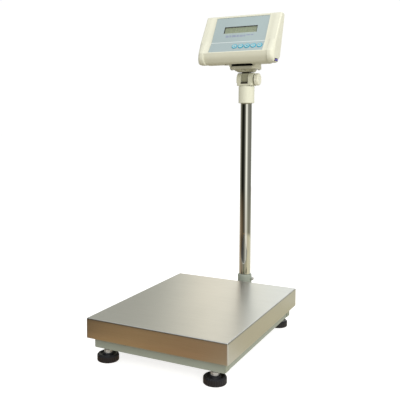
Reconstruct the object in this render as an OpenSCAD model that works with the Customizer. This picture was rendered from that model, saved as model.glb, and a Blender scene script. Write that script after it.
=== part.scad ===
// Bench scale: a stainless platter on a single-point load cell frame with four
// levelling feet, and a column that carries a tilting, swivelling indicator head.
// All lengths are in millimetres. The floor is z = 0 and the column stands behind
// the platter, on the +Y side. The user faces the head from the -Y side.

/* [Platter] */
// Width of the platter, left to right
platter_w = 300; // [290:1:320]
// Depth of the platter, front to back
platter_d = 400; // [390:1:420]
// Depth of the folded skirt, top face to lower edge
platter_h = 40; // [38:1:42]
// Sheet thickness of the platter
platter_t = 1.5; // [1:0.1:2]
// Height of the platter's top face above the floor
platter_z = 86; // [86:0.5:88]
// Outside radius of the fold along the top edges
platter_r = 2.5; // [2:0.5:3]

/* [Base frame] */
// Gap from the skirt's outer face to the frame's side
side_inset = 11.7; // [11:0.1:14]
// Gap from the skirt's outer face to the frame's front and rear
end_inset = 13.75; // [13:0.25:15]
// Height of the frame's underside above the floor
frame_z = 25; // [25:0.5:26]
// Width of the box rails
rail_w = 20; // [20:1:22]
// Height of the box rails
rail_h = 28; // [27:1:28]
// Wall of the box rails
rail_t = 2; // [1.5:0.5:2.5]
// Thickness of the two flat cross members
cross_t = 8; // [7:0.5:8]

/* [Feet] */
// Half the distance between the left and right feet
foot_x = 115; // [108:1:117]
// Diameter of a foot pad
pad_d = 43.2; // [40:0.2:44]
// Height of a foot pad
pad_h = 15; // [14:0.5:15.5]
// Thread diameter of a levelling stud
stud_d = 10; // [8:1:10]
// Number of grip flutes around a pad
pad_flutes = 30; // [20:1:40]

/* [Load cell] */
// Length of the load cell
cell_l = 130; // [130:1:134]
// Width of the load cell
cell_w = 30; // [28:1:36]
// Height of the load cell
cell_h = 22; // [20:1:22]

/* [Column] */
// Distance of the column's axis behind the platter's rear edge
pole_gap = 62.5; // [60:0.5:66]
// Outside diameter of the column tube
pole_d = 28; // [26:0.5:28]
// Wall of the column tube
pole_t = 1.5; // [1.2:0.1:2]
// Outside diameter of the socket's collar
socket_d = 34; // [34:0.5:36]
// Outside diameter of the sleeve at the column's top
sleeve_d = 38.4; // [38:0.1:39]

/* [Tilt joint] */
// Height of the tilt pivot above the floor
pivot_z = 568; // [568:1:569]
// Width of the yoke, left to right
yoke_w = 40; // [39:1:41]
// Width of the slot between the yoke's ears
yoke_slot = 18.4; // [18.2:0.1:18.6]
// Radius of the yoke's rounded ears
ear_r = 16.4; // [16:0.1:16.5]
// Diameter of the pivot bolt
pivot_d = 8; // [7:0.5:8]
// Diameter of the tilt knob
knob_d = 30; // [28:0.5:31]

/* [Head] */
// Half the width of the case
case_x = 95; // [94:0.5:96]
// Half the width between the two end cheeks
belly_x = 79; // [77:0.5:80]
// Lean of the display face from the vertical
face_lean = 29.65; // [29.55:0.05:29.75]
// Lean of the key strip from the vertical
strip_lean = 39.5; // [39.4:0.1:39.6]
// Wall of the moulded case
wall = 2.5; // [2:0.1:3]
// Width of the blue-grey panel
panel_w = 134; // [132:1:136]
// Width of the display window
lcd_w = 83; // [80:1:86]
// Height of the display window
lcd_h = 19.5; // [18:0.5:21]
// Diameter of a key
key_d = 13; // [12:0.5:13.5]

/* [Hidden] */
$fn = 64;

// colours
c_steel = [0.76, 0.76, 0.73];
c_paint = [0.50, 0.54, 0.47];
c_zinc = [0.80, 0.80, 0.78];
c_chrome = [0.86, 0.86, 0.85];
c_black = [0.06, 0.06, 0.06];
c_rubber = [0.10, 0.10, 0.10];
c_cap = [0.50, 0.53, 0.46];
c_case = [0.91, 0.90, 0.83];
c_panel = [0.66, 0.74, 0.73];
c_key = [0.25, 0.72, 0.80];
c_pcb = [0.10, 0.38, 0.20];

// the whole object is centred on its own box: the front is the platter's edge, the
// rear is the round foot of the column's socket
pole_y = platter_d/2 + pole_gap;
socket_foot_d = 47;
y_shift = (pole_y + socket_foot_d/2 - platter_d/2)/2;

frame_x = platter_w/2 - side_inset;
frame_y = platter_d/2 - end_inset;
foot_y = frame_y - rail_w/2;
rail_top = frame_z + rail_h;
pad_seat = 5;                 // height of the swivel seat inside a pad
spigot_d = 12;                // swivel end of a stud
hex_z = pad_h + 0.6;          // underside of a stud's hexagon
hex_h = 6;
stud_top = frame_z + 21;

spacer_t = 4;
cell_z = frame_z + cross_t + spacer_t;
upper_z = cell_z + cell_h + spacer_t;      // underside of the upper frame
upper_top = platter_z - platter_t - 3;     // the bumpers are 3 mm thick
cell_bolt_y = [40, 58];                    // bolt rows at each end of the cell
bar_x = 95;                                // centre of the upper frame's bars
bumper_y = 160;

socket_z = 27;
socket_top = 88;
arm_z1 = 43;

sleeve_z0 = 511;
sleeve_z1 = 552;
pole_z1 = 534;
yoke_z = sleeve_z1 + 1;
slot_floor = pivot_z - 7;

// head profile, measured from the column's axis (y) and from the floor (z)
fold = [-60.7, 653];
up_u = [sin(face_lean), cos(face_lean)];
up_l = [sin(strip_lean), cos(strip_lean)];
n_u = [-cos(face_lean), sin(face_lean)];
n_l = [-cos(strip_lean), sin(strip_lean)];
top_front = fold + 77*up_u;
lip = fold - 33*up_l;
panel_up = 71.2;
panel_down = 30.2;
back_lean = 17.35;
seam_off = 12;
lcd_s = 35;                   // middle of the display, up from the fold
key_s = -14.6;                // middle of the keys, down from the fold
key_xs = [-4, 11.4, 26.8, 42.2, 57.6];
key_travel = 0.5;
bulge_x = 60;
bulge_y1 = 12;
flange_z0 = 592;
flange_z1 = 598.5;
switch_y = -62.5;
switch_z = 607;

// ---------------------------------------------------------------- helpers
function unit(v) = v/norm(v);
// a polygon's corner list [[point, radius], ...] moved inwards by d (counter-clockwise)
function edge_n(a, b) = let(u = unit(b - a)) [-u[1], u[0]];
function moved(c, d) = [for (i = [0:len(c)-1])
    let(n = len(c), p = c[i][0], a = edge_n(c[(i+n-1)%n][0], p), b = edge_n(p, c[(i+1)%n][0]))
    [p + d*(a + b)/(1 + a*b), c[i][1]]];
// the same corner list with its corners rounded, k segments to a corner
function rounded(c, d, k = 4) = let(m = moved(c, d), n = len(m)) [for (i = [0:n-1])
    let(p = m[i][0], u = unit(m[(i+n-1)%n][0] - p), v = unit(m[(i+1)%n][0] - p),
        turn = cross(u, v) < 0 ? 1 : -1,
        r = max(turn > 0 ? m[i][1] - d : m[i][1] + d, 0.4),
        half = acos(max(-1, min(1, u*v)))/2, t = r/tan(half),
        a = p + t*u, b = p + t*v, o = p + (r/sin(half))*unit(u + v))
    for (j = [0:k]) let(s = j/k, w0 = atan2((a-o)[1], (a-o)[0]), w1 = atan2((b-o)[1], (b-o)[0]),
        dw = (w1 - w0) > 180 ? w1 - w0 - 360 : (w1 - w0) < -180 ? w1 - w0 + 360 : w1 - w0)
        o + r*[cos(w0 + s*dw), sin(w0 + s*dw)]];
// a solid along X through stations [[x, inset, corner list in (y, z)], ...]; the lists have as many corners each
module loft_x(st, k = 4) {
    rings = [for (s = st) [for (p = rounded(s[2], s[1], k)) [s[0], p[0], p[1]]]];
    n = len(rings[0]);
    m = len(rings);
    polyhedron(points = [for (r = rings) for (p = r) p],
        faces = concat(
            [[for (i = [0:n-1]) i]],
            [[for (i = [n-1:-1:0]) (m-1)*n + i]],
            [for (j = [0:m-2]) for (i = [0:n-1])
                let(a = j*n + i, b = j*n + (i+1)%n) [a, a + n, b]],
            [for (j = [0:m-2]) for (i = [0:n-1])
                let(a = j*n + i, b = j*n + (i+1)%n) [b, a + n, b + n]]));
}
module base() translate([0, -y_shift, 0]) children();
module head() translate([0, pole_y - y_shift, 0]) children();
module on_face() head() translate([0, fold[0], fold[1]]) rotate([90 - face_lean, 0, 0]) children();
module on_strip() head() translate([0, fold[0], fold[1]]) rotate([90 - strip_lean, 0, 0]) children();
module on_back() head() translate([0, -33, 615]) rotate([90 + back_lean, 0, 180]) children();
module box(lo, hi) translate(lo) cube(hi - lo);
module tube(d, di, h) difference() { cylinder(d = d, h = h); translate([0, 0, -1]) cylinder(d = di, h = h + 2); }
module hex(af, h) cylinder(d = af/cos(30), h = h, $fn = 6);
module along_x() rotate([0, 90, 0]) children();
// a hexagon-headed bolt: the head stands on z = 0 and the shank hangs below
module bolt(d, l, af, k) { hex(af, k); translate([0, 0, -l]) cylinder(d = d, h = l + 0.5); }
// a pan-headed screw, same placing
module pan_screw(d, l, hd, k) {
    difference() {
        cylinder(d = hd, h = k);
        for (a = [0, 90]) rotate(a) translate([-hd*0.3, -0.4, k - 0.9]) cube([hd*0.6, 0.8, 2]);
    }
    translate([0, 0, -l]) cylinder(d = d, h = l + 0.3);
}
module corners(x, y) for (sx = [-1, 1]) for (sy = [-1, 1]) translate([sx*x, sy*y, 0]) children();
module rounded_plate(x, y, r, h) translate([-x/2, -y/2, 0]) linear_extrude(h)
    polygon(rounded([[[0, 0], r], [[x, 0], r], [[x, y], r], [[0, y], r]], 0, 6));

// ---------------------------------------------------------------- platter
module platter() color(c_steel) base() {
    r = platter_r;
    difference() {
        union() {
            // the tray's outside: rounded folds along the four top edges
            box([-platter_w/2, -platter_d/2, platter_z - platter_h], [platter_w/2, platter_d/2, platter_z - r]);
            box([-platter_w/2 + r, -platter_d/2 + r, platter_z - r - 1], [platter_w/2 - r, platter_d/2 - r, platter_z]);
            for (s = [-1, 1]) {
                translate([s*(platter_w/2 - r), -platter_d/2 + r, platter_z - r]) rotate([-90, 0, 0]) cylinder(r = r, h = platter_d - 2*r, $fn = 32);
                translate([-platter_w/2 + r, s*(platter_d/2 - r), platter_z - r]) rotate([0, 90, 0]) cylinder(r = r, h = platter_w - 2*r, $fn = 32);
            }
            corners(platter_w/2 - r, platter_d/2 - r) translate([0, 0, platter_z - r]) sphere(r = r, $fn = 32);
        }
        box([-platter_w/2 + platter_t, -platter_d/2 + platter_t, platter_z - platter_h - 1],
            [platter_w/2 - platter_t, platter_d/2 - platter_t, platter_z - platter_t]);
    }
}
module platter_locating_studs() color(c_zinc) base()
    corners(bar_x, bumper_y) translate([0, 0, platter_z - platter_t - 9]) cylinder(d = 8, h = 9);

// ---------------------------------------------------------------- upper frame
module upper_frame() color(c_paint) base() difference() {
    union() {
        for (s = [-1, 1]) difference() {
            translate([s*bar_x - 10, -180, upper_z]) cube([20, 360, upper_top - upper_z]);
            translate([s*bar_x - 7.5, -190, upper_z - 1]) cube([15, 380, upper_top - upper_z - 1.5]);
        }
        for (s = [-1, 1]) box([-bar_x + 10, s < 0 ? -70 : 30, upper_z], [bar_x - 10, s < 0 ? -30 : 70, upper_z + 8]);
        // stop pads that close the bars over the overload stops
        corners(bar_x, foot_y) translate([-8, -3.8, upper_z]) cube([16, 7.6, 3]);
    }
    corners(bar_x, bumper_y) cylinder(d = 12, h = 200);
    for (x = [-8, 8]) for (y = cell_bolt_y) translate([x, -y, 0]) cylinder(d = 6.6, h = 200);
}
module platter_bumpers() color(c_rubber) base()
    corners(bar_x, bumper_y) translate([0, 0, upper_top]) difference() {
        union() { cylinder(d = 19, h = 3); translate([0, 0, -2.5]) cylinder(d = 11.8, h = 3); }
        translate([0, 0, -4]) cylinder(d = 9, h = 9);
    }

// ---------------------------------------------------------------- load cell
module cell_block(x, y0, y1, z0, z1) difference() {
    box([-x/2, y0, z0], [x/2, y1, z1]);
    for (sx = [-8, 8]) for (y = cell_bolt_y) for (s = [-1, 1]) translate([sx, s*y, z0 - 1]) cylinder(d = 6.4, h = z1 - z0 + 2);
}
module upper_spacer() color(c_zinc) base() cell_block(cell_w, -65, -33, cell_z + cell_h, upper_z);
module lower_spacer() color(c_zinc) base() cell_block(cell_w, 33, 65, frame_z + cross_t, cell_z);
module cell_hole(g = 0) {
    for (s = [-1, 1]) translate([-cell_w/2 - 1, s*14, cell_z + cell_h/2]) along_x() cylinder(d = 15 - 2*g, h = cell_w + 2);
    box([-cell_w/2 - 1, -14, cell_z + cell_h/2 - 3 + g], [cell_w/2 + 1, 14, cell_z + cell_h/2 + 3 - g]);
}
module load_cell() color([0.80, 0.81, 0.82]) base() difference() {
    box([-cell_w/2, -cell_l/2, cell_z], [cell_w/2, cell_l/2, cell_z + cell_h]);
    cell_hole();
    for (sx = [-8, 8]) for (y = cell_bolt_y) {
        translate([sx, -y, cell_z + cell_h - 16]) cylinder(d = 6.2, h = 20);
        translate([sx, y, cell_z - 4]) cylinder(d = 6.2, h = 20);
    }
    translate([0, cell_l/2 + 1, cell_z + cell_h/2]) rotate([90, 0, 0]) cylinder(d = 6, h = 9);
}
module load_cell_potting() color([0.86, 0.86, 0.82]) base() intersection() {
    cell_hole(0.05);
    box([-cell_w/2 + 2, -40, 0], [cell_w/2 - 2, 40, 200]);
}
module load_cell_gland() color(c_black) base() translate([0, cell_l/2, cell_z + cell_h/2]) rotate([-90, 0, 0]) difference() {
    union() { translate([0, 0, -7]) cylinder(d = 5.9, h = 8); hex(9, 4); translate([0, 0, 4]) cylinder(d = 7, h = 4); }
    translate([0, 0, -8]) cylinder(d = 3.6, h = 20);
}
module load_cell_bolts() color(c_zinc) base() for (x = [-8, 8]) for (y = cell_bolt_y) {
    translate([x, -y, upper_z + 8]) bolt(6, 8 + spacer_t + 13, 10, 4);
    translate([x, y, frame_z]) mirror([0, 0, 1]) bolt(6, cross_t + spacer_t + 13, 10, 4);
}

// ---------------------------------------------------------------- base frame
module rail_x(s) difference() {
    box([-frame_x, s*foot_y - rail_w/2, frame_z], [frame_x, s*foot_y + rail_w/2, rail_top]);
    box([-frame_x - 1, s*foot_y - rail_w/2 + rail_t, frame_z + rail_t], [frame_x + 1, s*foot_y + rail_w/2 - rail_t, rail_top - rail_t]);
}
module rail_y(s) difference() {
    box([s*(frame_x - rail_w/2) - rail_w/2, -foot_y + rail_w/2, frame_z], [s*(frame_x - rail_w/2) + rail_w/2, foot_y - rail_w/2, rail_top]);
    box([s*(frame_x - rail_w/2) - rail_w/2 + rail_t, -foot_y, frame_z + rail_t], [s*(frame_x - rail_w/2) + rail_w/2 - rail_t, foot_y, rail_top - rail_t]);
}
module base_frame() color(c_paint) base() difference() {
    union() {
        for (s = [-1, 1]) { rail_x(s); rail_y(s); }
        for (s = [-1, 1]) box([-frame_x + rail_w - 0.5, s < 0 ? -70 : 30, frame_z], [frame_x - rail_w + 0.5, s < 0 ? -30 : 70, frame_z + cross_t]);
    }
    // foot holes through the lower wall, stop screws through the upper wall
    corners(foot_x, foot_y) translate([0, 0, frame_z - 1]) cylinder(d = stud_d + 1.2, h = rail_t + 2);
    corners(bar_x, foot_y) translate([0, 0, rail_top - rail_t - 1]) cylinder(d = 6.2, h = rail_t + 2);
    // coating drain holes under the side rails
    for (s = [-1, 1]) for (y = [-120, 120]) translate([s*(frame_x - rail_w/2), y, frame_z - 1]) cylinder(d = 8, h = rail_t + 2);
    // load cell bolts
    for (x = [-8, 8]) for (y = cell_bolt_y) translate([x, y, frame_z - 1]) cylinder(d = 6.6, h = cross_t + 2);
    // socket bolts through both walls of the rear rail
    for (x = [-26, 26]) for (z = [33, 46]) translate([x, foot_y - rail_w/2 - 1, z]) rotate([-90, 0, 0]) cylinder(d = 6.4, h = rail_w + 2);
}
module rail_end_caps() color(c_cap) base() for (s = [-1, 1]) for (t = [-1, 1]) {
    w = rail_w - 2*rail_t - 0.2;
    h = rail_h - 2*rail_t - 0.2;
    translate([s*frame_x, t*foot_y, frame_z + rail_h/2]) scale([s, 1, 1]) union() {
        box([-9, -w/2, -h/2], [0, w/2, h/2]);
        box([0, -rail_w/2 + 0.5, -rail_h/2 + 0.5], [1.5, rail_w/2 - 0.5, rail_h/2 - 0.5]);
    }
}
module foot_nuts() color(c_zinc) base() corners(foot_x, foot_y) translate([0, 0, frame_z + rail_t])
    difference() { cylinder(d = 15.6, h = 10); translate([0, 0, -1]) cylinder(d = stud_d + 0.1, h = 12); }
module overload_stops() color(c_zinc) base() corners(bar_x, foot_y) translate([0, 0, rail_top]) {
    translate([0, 0, -8]) cylinder(d = 6, h = upper_z - 1 - rail_top + 8);
    difference() { hex(10, 4); translate([0, 0, -1]) cylinder(d = 5.9, h = 8); }
}

// ---------------------------------------------------------------- levelling feet
module foot_pad(sx, sy) color(c_black) base() translate([sx*foot_x, sy*foot_y, 0]) difference() {
    rotate_extrude($fn = 96) polygon([[0, 0], [pad_d/2 - 1.6, 0], [pad_d/2, 1.6], [pad_d/2, pad_h - 3],
        [pad_d/2 - 2.5, pad_h - 0.8], [pad_d/2 - 5, pad_h - 0.8], [pad_d/2 - 6.5, pad_h - 3], [11, pad_h - 3.6], [9.5, pad_h], [0, pad_h]]);
    translate([0, 0, pad_seat]) cylinder(d = spigot_d + 0.2, h = 20);
    for (i = [0:pad_flutes - 1]) rotate(i*360/pad_flutes) translate([pad_d/2 + 0.5, 0, 2.4]) cylinder(d = 2.4, h = 20, $fn = 16);
    translate([0, 0, -1]) difference() { cylinder(r = pad_d/2 - 5, h = 2); translate([0, 0, -1]) cylinder(r = 9, h = 4); }
}
module leveling_stud(sx, sy) color(c_zinc) base() translate([sx*foot_x, sy*foot_y, 0]) {
    translate([0, 0, pad_seat]) cylinder(d = spigot_d, h = hex_z - pad_seat + 0.5);
    translate([0, 0, hex_z]) hex(14, hex_h);
    translate([0, 0, hex_z + hex_h - 0.5]) cylinder(d = stud_d, h = stud_top - hex_z - hex_h);
}

// ---------------------------------------------------------------- column
module pole_socket() color(c_paint) base() difference() {
    union() {
        // collar and its rounded lip
        translate([0, pole_y, socket_z]) cylinder(d = socket_d, h = socket_top - socket_z - 2);
        translate([0, pole_y, socket_top - 2]) cylinder(d1 = socket_d, d2 = socket_d - 2.4, h = 2);
        // spread foot of the casting
        translate([0, pole_y, socket_z]) cylinder(d = socket_foot_d, h = 10);
        translate([0, pole_y, socket_z + 10]) cylinder(d1 = socket_foot_d, d2 = socket_d, h = 14);
        // arm to the rear rail, and its flange
        box([-18, frame_y + 3, socket_z], [18, pole_y, arm_z1]);
        box([-35, frame_y, socket_z], [35, frame_y + 6, rail_top - 1]);
        // boss of the clamp screw
        translate([socket_d/2 - 3, pole_y, 78]) along_x() cylinder(d = 9, h = 5);
    }
    translate([0, pole_y, socket_z + 4]) cylinder(d = pole_d + 0.1, h = 100);
    translate([0, pole_y, socket_z - 1]) cylinder(d = 14, h = 10);
    translate([socket_d/2 - 8, pole_y, 78]) along_x() cylinder(d = 5, h = 20);
    for (x = [-26, 26]) for (z = [33, 46]) translate([x, frame_y - 1, z]) rotate([-90, 0, 0]) cylinder(d = 6.4, h = 20);
    // seat of the spirit level
    translate([0, frame_y + 30, arm_z1 - 2]) cylinder(d = 16.2, h = 10);
}
module socket_bolts() color(c_zinc) base() for (x = [-26, 26]) for (z = [33, 46])
    translate([x, frame_y + 6, z]) rotate([-90, 0, 0]) {
        bolt(6, 6 + rail_w + 7, 10, 4);
        translate([0, 0, -6 - rail_w - 5]) difference() { hex(10, 5); translate([0, 0, -1]) cylinder(d = 5.9, h = 7); }
    }
module pole_clamp_screw() color(c_zinc) base() translate([socket_d/2 + 2, pole_y, 78]) along_x() {
    difference() { cylinder(d = 8, h = 3.6); translate([0, 0, 1.4]) hex(4, 4); }
    translate([0, 0, -(socket_d - pole_d)/2 - 1.9]) cylinder(d = 4.9, h = (socket_d - pole_d)/2 + 2);
}
module level_housing() color(c_black) base() translate([0, frame_y + 30, arm_z1 - 2]) difference() {
    union() { cylinder(d = 16, h = 6); translate([0, 0, 2]) cylinder(d = 18, h = 2); }
    translate([0, 0, 1.5]) cylinder(d = 12.2, h = 10);
}
module level_vial() color([0.75, 0.85, 0.30]) base() translate([0, frame_y + 30, arm_z1 - 0.5]) intersection() {
    cylinder(d = 12, h = 5);
    translate([0, 0, -20 + 4.8]) sphere(r = 20);
}
module pole() color(c_chrome) base() translate([0, pole_y, socket_z + 4]) tube(pole_d, pole_d - 2*pole_t, pole_z1 - socket_z - 4);
module pole_sleeve() color(c_case) base() translate([0, pole_y, 0]) difference() {
    union() {
        translate([0, 0, sleeve_z0 + 1.2]) cylinder(d = sleeve_d, h = sleeve_z1 - sleeve_z0 - 2.4);
        translate([0, 0, sleeve_z0]) cylinder(d1 = sleeve_d - 2.4, d2 = sleeve_d, h = 1.2);
        translate([0, 0, sleeve_z1 - 1.2]) cylinder(d2 = sleeve_d - 2.4, d1 = sleeve_d, h = 1.2);
    }
    translate([0, 0, sleeve_z0 - 1]) cylinder(d = pole_d + 0.1, h = 544 - sleeve_z0 + 1);
    cylinder(d = 16.1, h = 700);
    translate([0, 0, sleeve_z0 + 12]) rotate([-90, 0, 0]) cylinder(d = 4.1, h = 40);
}
module sleeve_screw() color(c_zinc) base() translate([0, pole_y + sleeve_d/2, sleeve_z0 + 12]) rotate([-90, 0, 0]) difference() {
    union() { translate([0, 0, -(sleeve_d - pole_d)/2 + 0.1]) cylinder(d = 4, h = (sleeve_d - pole_d)/2 + 0.2); cylinder(d = 7, h = 2.4); }
    translate([0, 0, 1]) hex(2.5, 3);
}
module swivel_washer() color([0.85, 0.85, 0.8]) base() translate([0, pole_y, sleeve_z1]) tube(31, 16.4, 1);

// ---------------------------------------------------------------- tilt joint
module tilt_yoke() color(c_case) base() translate([0, pole_y, 0]) difference() {
    union() {
        translate([0, 0, yoke_z]) rounded_plate(yoke_w, 2*ear_r, 5, slot_floor - yoke_z);
        for (s = [-1, 1]) translate([s*(yoke_w/2 + yoke_slot/2)/2, 0, 0]) {
            t = (yoke_w - yoke_slot)/2;
            box([-t/2, -ear_r, slot_floor - 1], [t/2, ear_r, pivot_z]);
            difference() {
                translate([-t/2, 0, pivot_z]) along_x() cylinder(r = ear_r, h = t);
                box([-t, -50, 500], [t, 50, pivot_z - 4]);
            }
        }
        translate([0, 0, 543.6]) cylinder(d = 16, h = yoke_z - 543.6 + 0.5);
    }
    // trough that the bracket's barrel turns in
    translate([-yoke_slot/2, 0, pivot_z]) along_x() cylinder(r = 9.6, h = yoke_slot);
    translate([-50, 0, pivot_z]) along_x() cylinder(d = pivot_d + 0.1, h = 100);
    // hexagon pocket that holds the bolt's head
    translate([-yoke_w/2 - 1, 0, pivot_z]) along_x() hex(13.2, 6.6);
    translate([0, 0, 530]) cylinder(d = 5, h = 23);
}
module swivel_screw() color(c_zinc) base() translate([0, pole_y, 0]) {
    translate([0, 0, 543.6]) mirror([0, 0, 1]) { tube(23, 5, 1.6); translate([0, 0, 1.6]) bolt(4.9, 9.5, 8, 3.5); }
}
module pivot_bolt() color(c_zinc) base() translate([-yoke_w/2, 0 + pole_y, pivot_z]) along_x() {
    hex(13, 5.3);
    cylinder(d = pivot_d, h = yoke_w + 10.5);
}
module knob_washer() color(c_black) base() translate([yoke_w/2, pole_y, pivot_z]) along_x() tube(17, pivot_d + 0.2, 1.2);
module tilt_knob() color([0.77, 0.76, 0.68]) base() translate([yoke_w/2 + 1.2, pole_y, pivot_z]) along_x() difference() {
    union() {
        cylinder(d = 15, h = 2);
        rotate_extrude($fn = 72) polygon([[0, 1.6], [knob_d/2 - 1.4, 1.6], [knob_d/2 - 0.2, 2.8], [knob_d/2, 9.5], [knob_d/2 - 1.6, 12], [knob_d/2 - 4, 12.8], [0, 12.8]]);
    }
    translate([0, 0, -1]) cylinder(d = 12, h = 11.6);
    for (i = [0:17]) rotate(i*20) translate([knob_d/2 + 0.9, 0, 2.8]) cylinder(d = 3, h = 20, $fn = 16);
}
module knob_insert() color([0.78, 0.65, 0.35]) base() translate([yoke_w/2 + 1.3, pole_y, pivot_z]) along_x()
    tube(11.9, pivot_d + 0.1, 10);

// ---------------------------------------------------------------- head bracket
module head_bracket() color(c_case) base() translate([0, pole_y, 0]) difference() {
    union() {
        translate([-yoke_slot/2 + 0.35, 0, pivot_z]) along_x() cylinder(r = 9, h = yoke_slot - 0.7);
        box([-yoke_slot/2 + 0.35, -9, pivot_z], [yoke_slot/2 - 0.35, 9, 588]);
        hull() {
            translate([0, -1, 586]) rounded_plate(41, 27, 9, 1);
            translate([0, -8, flange_z0]) rounded_plate(52, 36, 9, 0.5);
        }
        translate([0, -10.5, flange_z0]) linear_extrude(flange_z1 - flange_z0) polygon([[-33, 22.5], [-33, -15.5], [-26, -22.5], [26, -22.5], [33, -15.5], [33, 22.5]]);
    }
    translate([-50, 0, pivot_z]) along_x() cylinder(d = pivot_d + 0.1, h = 100);
    for (x = [-30, 30]) for (y = [-20, 6]) translate([x, y, flange_z0 - 10]) cylinder(d = 3.4, h = 40);
    // cable way up through the flange, behind the tongue
    translate([0, -22, flange_z0 - 12]) cylinder(d = 12, h = 40);
}
module bracket_screws() color(c_zinc) base() for (x = [-30, 30]) for (y = [-20, 6])
    translate([x, pole_y + y, flange_z0]) mirror([0, 0, 1]) pan_screw(3, 11, 5.6, 2);

// ---------------------------------------------------------------- case
// corners of the cheeks' outline and of the middle's outline, in (y, z), counter-clockwise
function on_back_at(t) = [-33, 615] + t*[sin(back_lean), cos(back_lean)];
cheek = [[on_back_at(0), 8], [on_back_at(110), 7],
    [top_front, 6], [[-63.4, 654.3], 60], [lip + [-1.0, 0.6], 5], [[-84.5, 613], 18], [[-74, 601.6], 12], [[-53, 600.8], 8]];
// the cheek's outer end, drawn back at its lower front
cheek_end = [[on_back_at(0), 8], [on_back_at(110), 7],
    [top_front, 6], [[-63.4, 654.3], 60], [lip + [8, 2], 40], [[-77.5, 612.5], 14], [[-73, 602.2], 9], [[-53, 600.8], 8]];
middle = [[on_back_at(-15.2), 9], [on_back_at(110), 7],
    [top_front, 6], [fold, 1], [lip, 1.2], [[-80, 616], 22], [[-68, 602.6], 18], [[-50, 600.9], 40]];
// what is inside both of them
common = [[on_back_at(0), 8], [on_back_at(110), 7],
    [top_front, 6], [fold, 1], [lip, 1.2], [[-80, 616], 22], [[-69, 602.6], 18], [[-53, 601.4], 8]];
function both_sides(half) = concat(half, [for (i = [len(half)-1:-1:0]) [-half[i][0], half[i][1], half[i][2]]]);
function mixed(a, b, t) = [for (i = [0:len(a)-1]) [(1 - t)*a[i][0] + t*b[i][0], (1 - t)*a[i][1] + t*b[i][1]]];
// the cheek's outline at a distance s from its outer face
function cheek_at(s, c) = mixed(c, cheek_end, pow(max(0, 1 - s/10), 2));
module outer() loft_x(both_sides([for (s = [[0, 3.5], [0.5, 1.8], [1.6, 0.6], [3.5, 0], [6.5, 0], [10, 0]]) [-case_x + s[0], s[1], cheek_at(s[0], cheek)],
    [-belly_x, 0, cheek], [-belly_x + 0.8, 0, middle]]));
module inner() loft_x(both_sides([[-case_x + wall + 1, wall + 2, cheek_at(2.5, common)], [-case_x + 5, wall + 0.4, cheek_at(3.5, common)], [-case_x + 11, wall + 0.4, common],
    [-belly_x + 1, wall + 0.4, common], [-belly_x + 5, wall, middle]]));
// everything behind the seam, a plane parallel to the back
module behind_seam(g = 0) translate([0, -33, 615]) rotate([90 + back_lean, 0, 180])
    translate([-150, -100, -seam_off + g]) cube([300, 300, 120]);
// screw posts, in the back's frame: [across, up]
posts = [[-82, 96], [82, 96], [-82, 17], [82, 17]];
// outline of a film bent at the fold, between two heights over the face
function film(g, h0, h1) = let(b = (n_u + n_l)/(1 + n_u*n_l))
    [fold - (panel_down + g)*up_l + h0*n_l, fold + h0*b, fold + (panel_up + g)*up_u + h0*n_u,
     fold + (panel_up + g)*up_u + h1*n_u, fold + h1*b, fold - (panel_down + g)*up_l + h1*n_l];
module post_holes(d, z0, z1) for (p = posts) on_back() translate([p[0], p[1], z0]) cylinder(d = d, h = z1 - z0);
module hollow() difference() { head() inner(); post_holes(7, -60, 20); }
module prism_x(x, pts) rotate([90, 0, 90]) translate([0, 0, -x]) linear_extrude(2*x) polygon(pts);
module switch_seat() head() {
    box([case_x - 14, switch_y - 9.1, switch_z - 3.2], [case_x + 1, switch_y + 9.1, switch_z + 3.2]);
    box([case_x - 1.2, switch_y - 10.1, switch_z - 3.6], [case_x + 1, switch_y + 10.1, switch_z + 3.6]);
}
// opening under the case, in front of the bracket
module floor_opening() head() box([-33, -59, 590], [33, -33, 607]);
module case_front() color(c_case) difference() {
    head() outer();
    head() behind_seam();
    hollow();
    post_holes(2.8, -seam_off - 10, 20);
    // seat of the panel, the display opening and the key holes
    head() prism_x(panel_w/2 + 0.4, film(0.4, -1.4, 3));
    on_face() translate([-lcd_w/2, lcd_s - lcd_h/2, -20]) cube([lcd_w, lcd_h, 30]);
    for (x = key_xs) on_strip() translate([x, key_s, -8]) cylinder(d = key_d + 0.6, h = 20);
    switch_seat();
    floor_opening();
}
bulge = [[[-43, 604.5], 1], [[bulge_y1, 604.5], 5], [[bulge_y1, 672], 8], [[-8, 690], 6], [[-16, 690], 1]];
module case_rear() color(c_case) difference() {
    union() {
        head() intersection() { outer(); behind_seam(0.15); }
        head() {
            // middle bulge for the battery
            prism_x(bulge_x, rounded(bulge, 0, 4));
            // U-shaped foot that the bracket's flange is screwed to
            box([-33, -8, flange_z1], [33, 11, 606]);
            for (s = [-1, 1]) box([s < 0 ? -33 : 27, -31, flange_z1], [s < 0 ? -27 : 33, -7, 606]);
        }
    }
    hollow();
    head() prism_x(bulge_x - wall, rounded([[[-38, 607.5], 1], [[bulge_y1 - wall, 607], 3], [[bulge_y1 - wall, 670], 6], [[-9, 687], 4], [[-20, 687], 1]], 0, 4));
    // battery opening in the bulge's back
    head() box([-51, 8, 611], [51, 14, 656.5]);
    for (x = [-46, 46]) head() translate([x, 8, 662.5]) rotate([-90, 0, 0]) cylinder(d = 2.5, h = 8);
    for (x = [-30, 30]) for (y = [-20, 6]) head() translate([x, y, flange_z1 - 1]) cylinder(d = 3.1, h = 6.6);
    // screw holes with their counterbores, through the back
    post_holes(3.4, -60, 20);
    post_holes(6.6, -2.5, 20);
    // power inlet and data connector
    on_back() translate([76, 45, -8]) cylinder(d = 11.2, h = 20);
    on_back() translate([-77 - 5.2, 45 - 9.7, -8]) cube([10.4, 19.4, 20]);
    switch_seat();
    floor_opening();
}
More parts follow.
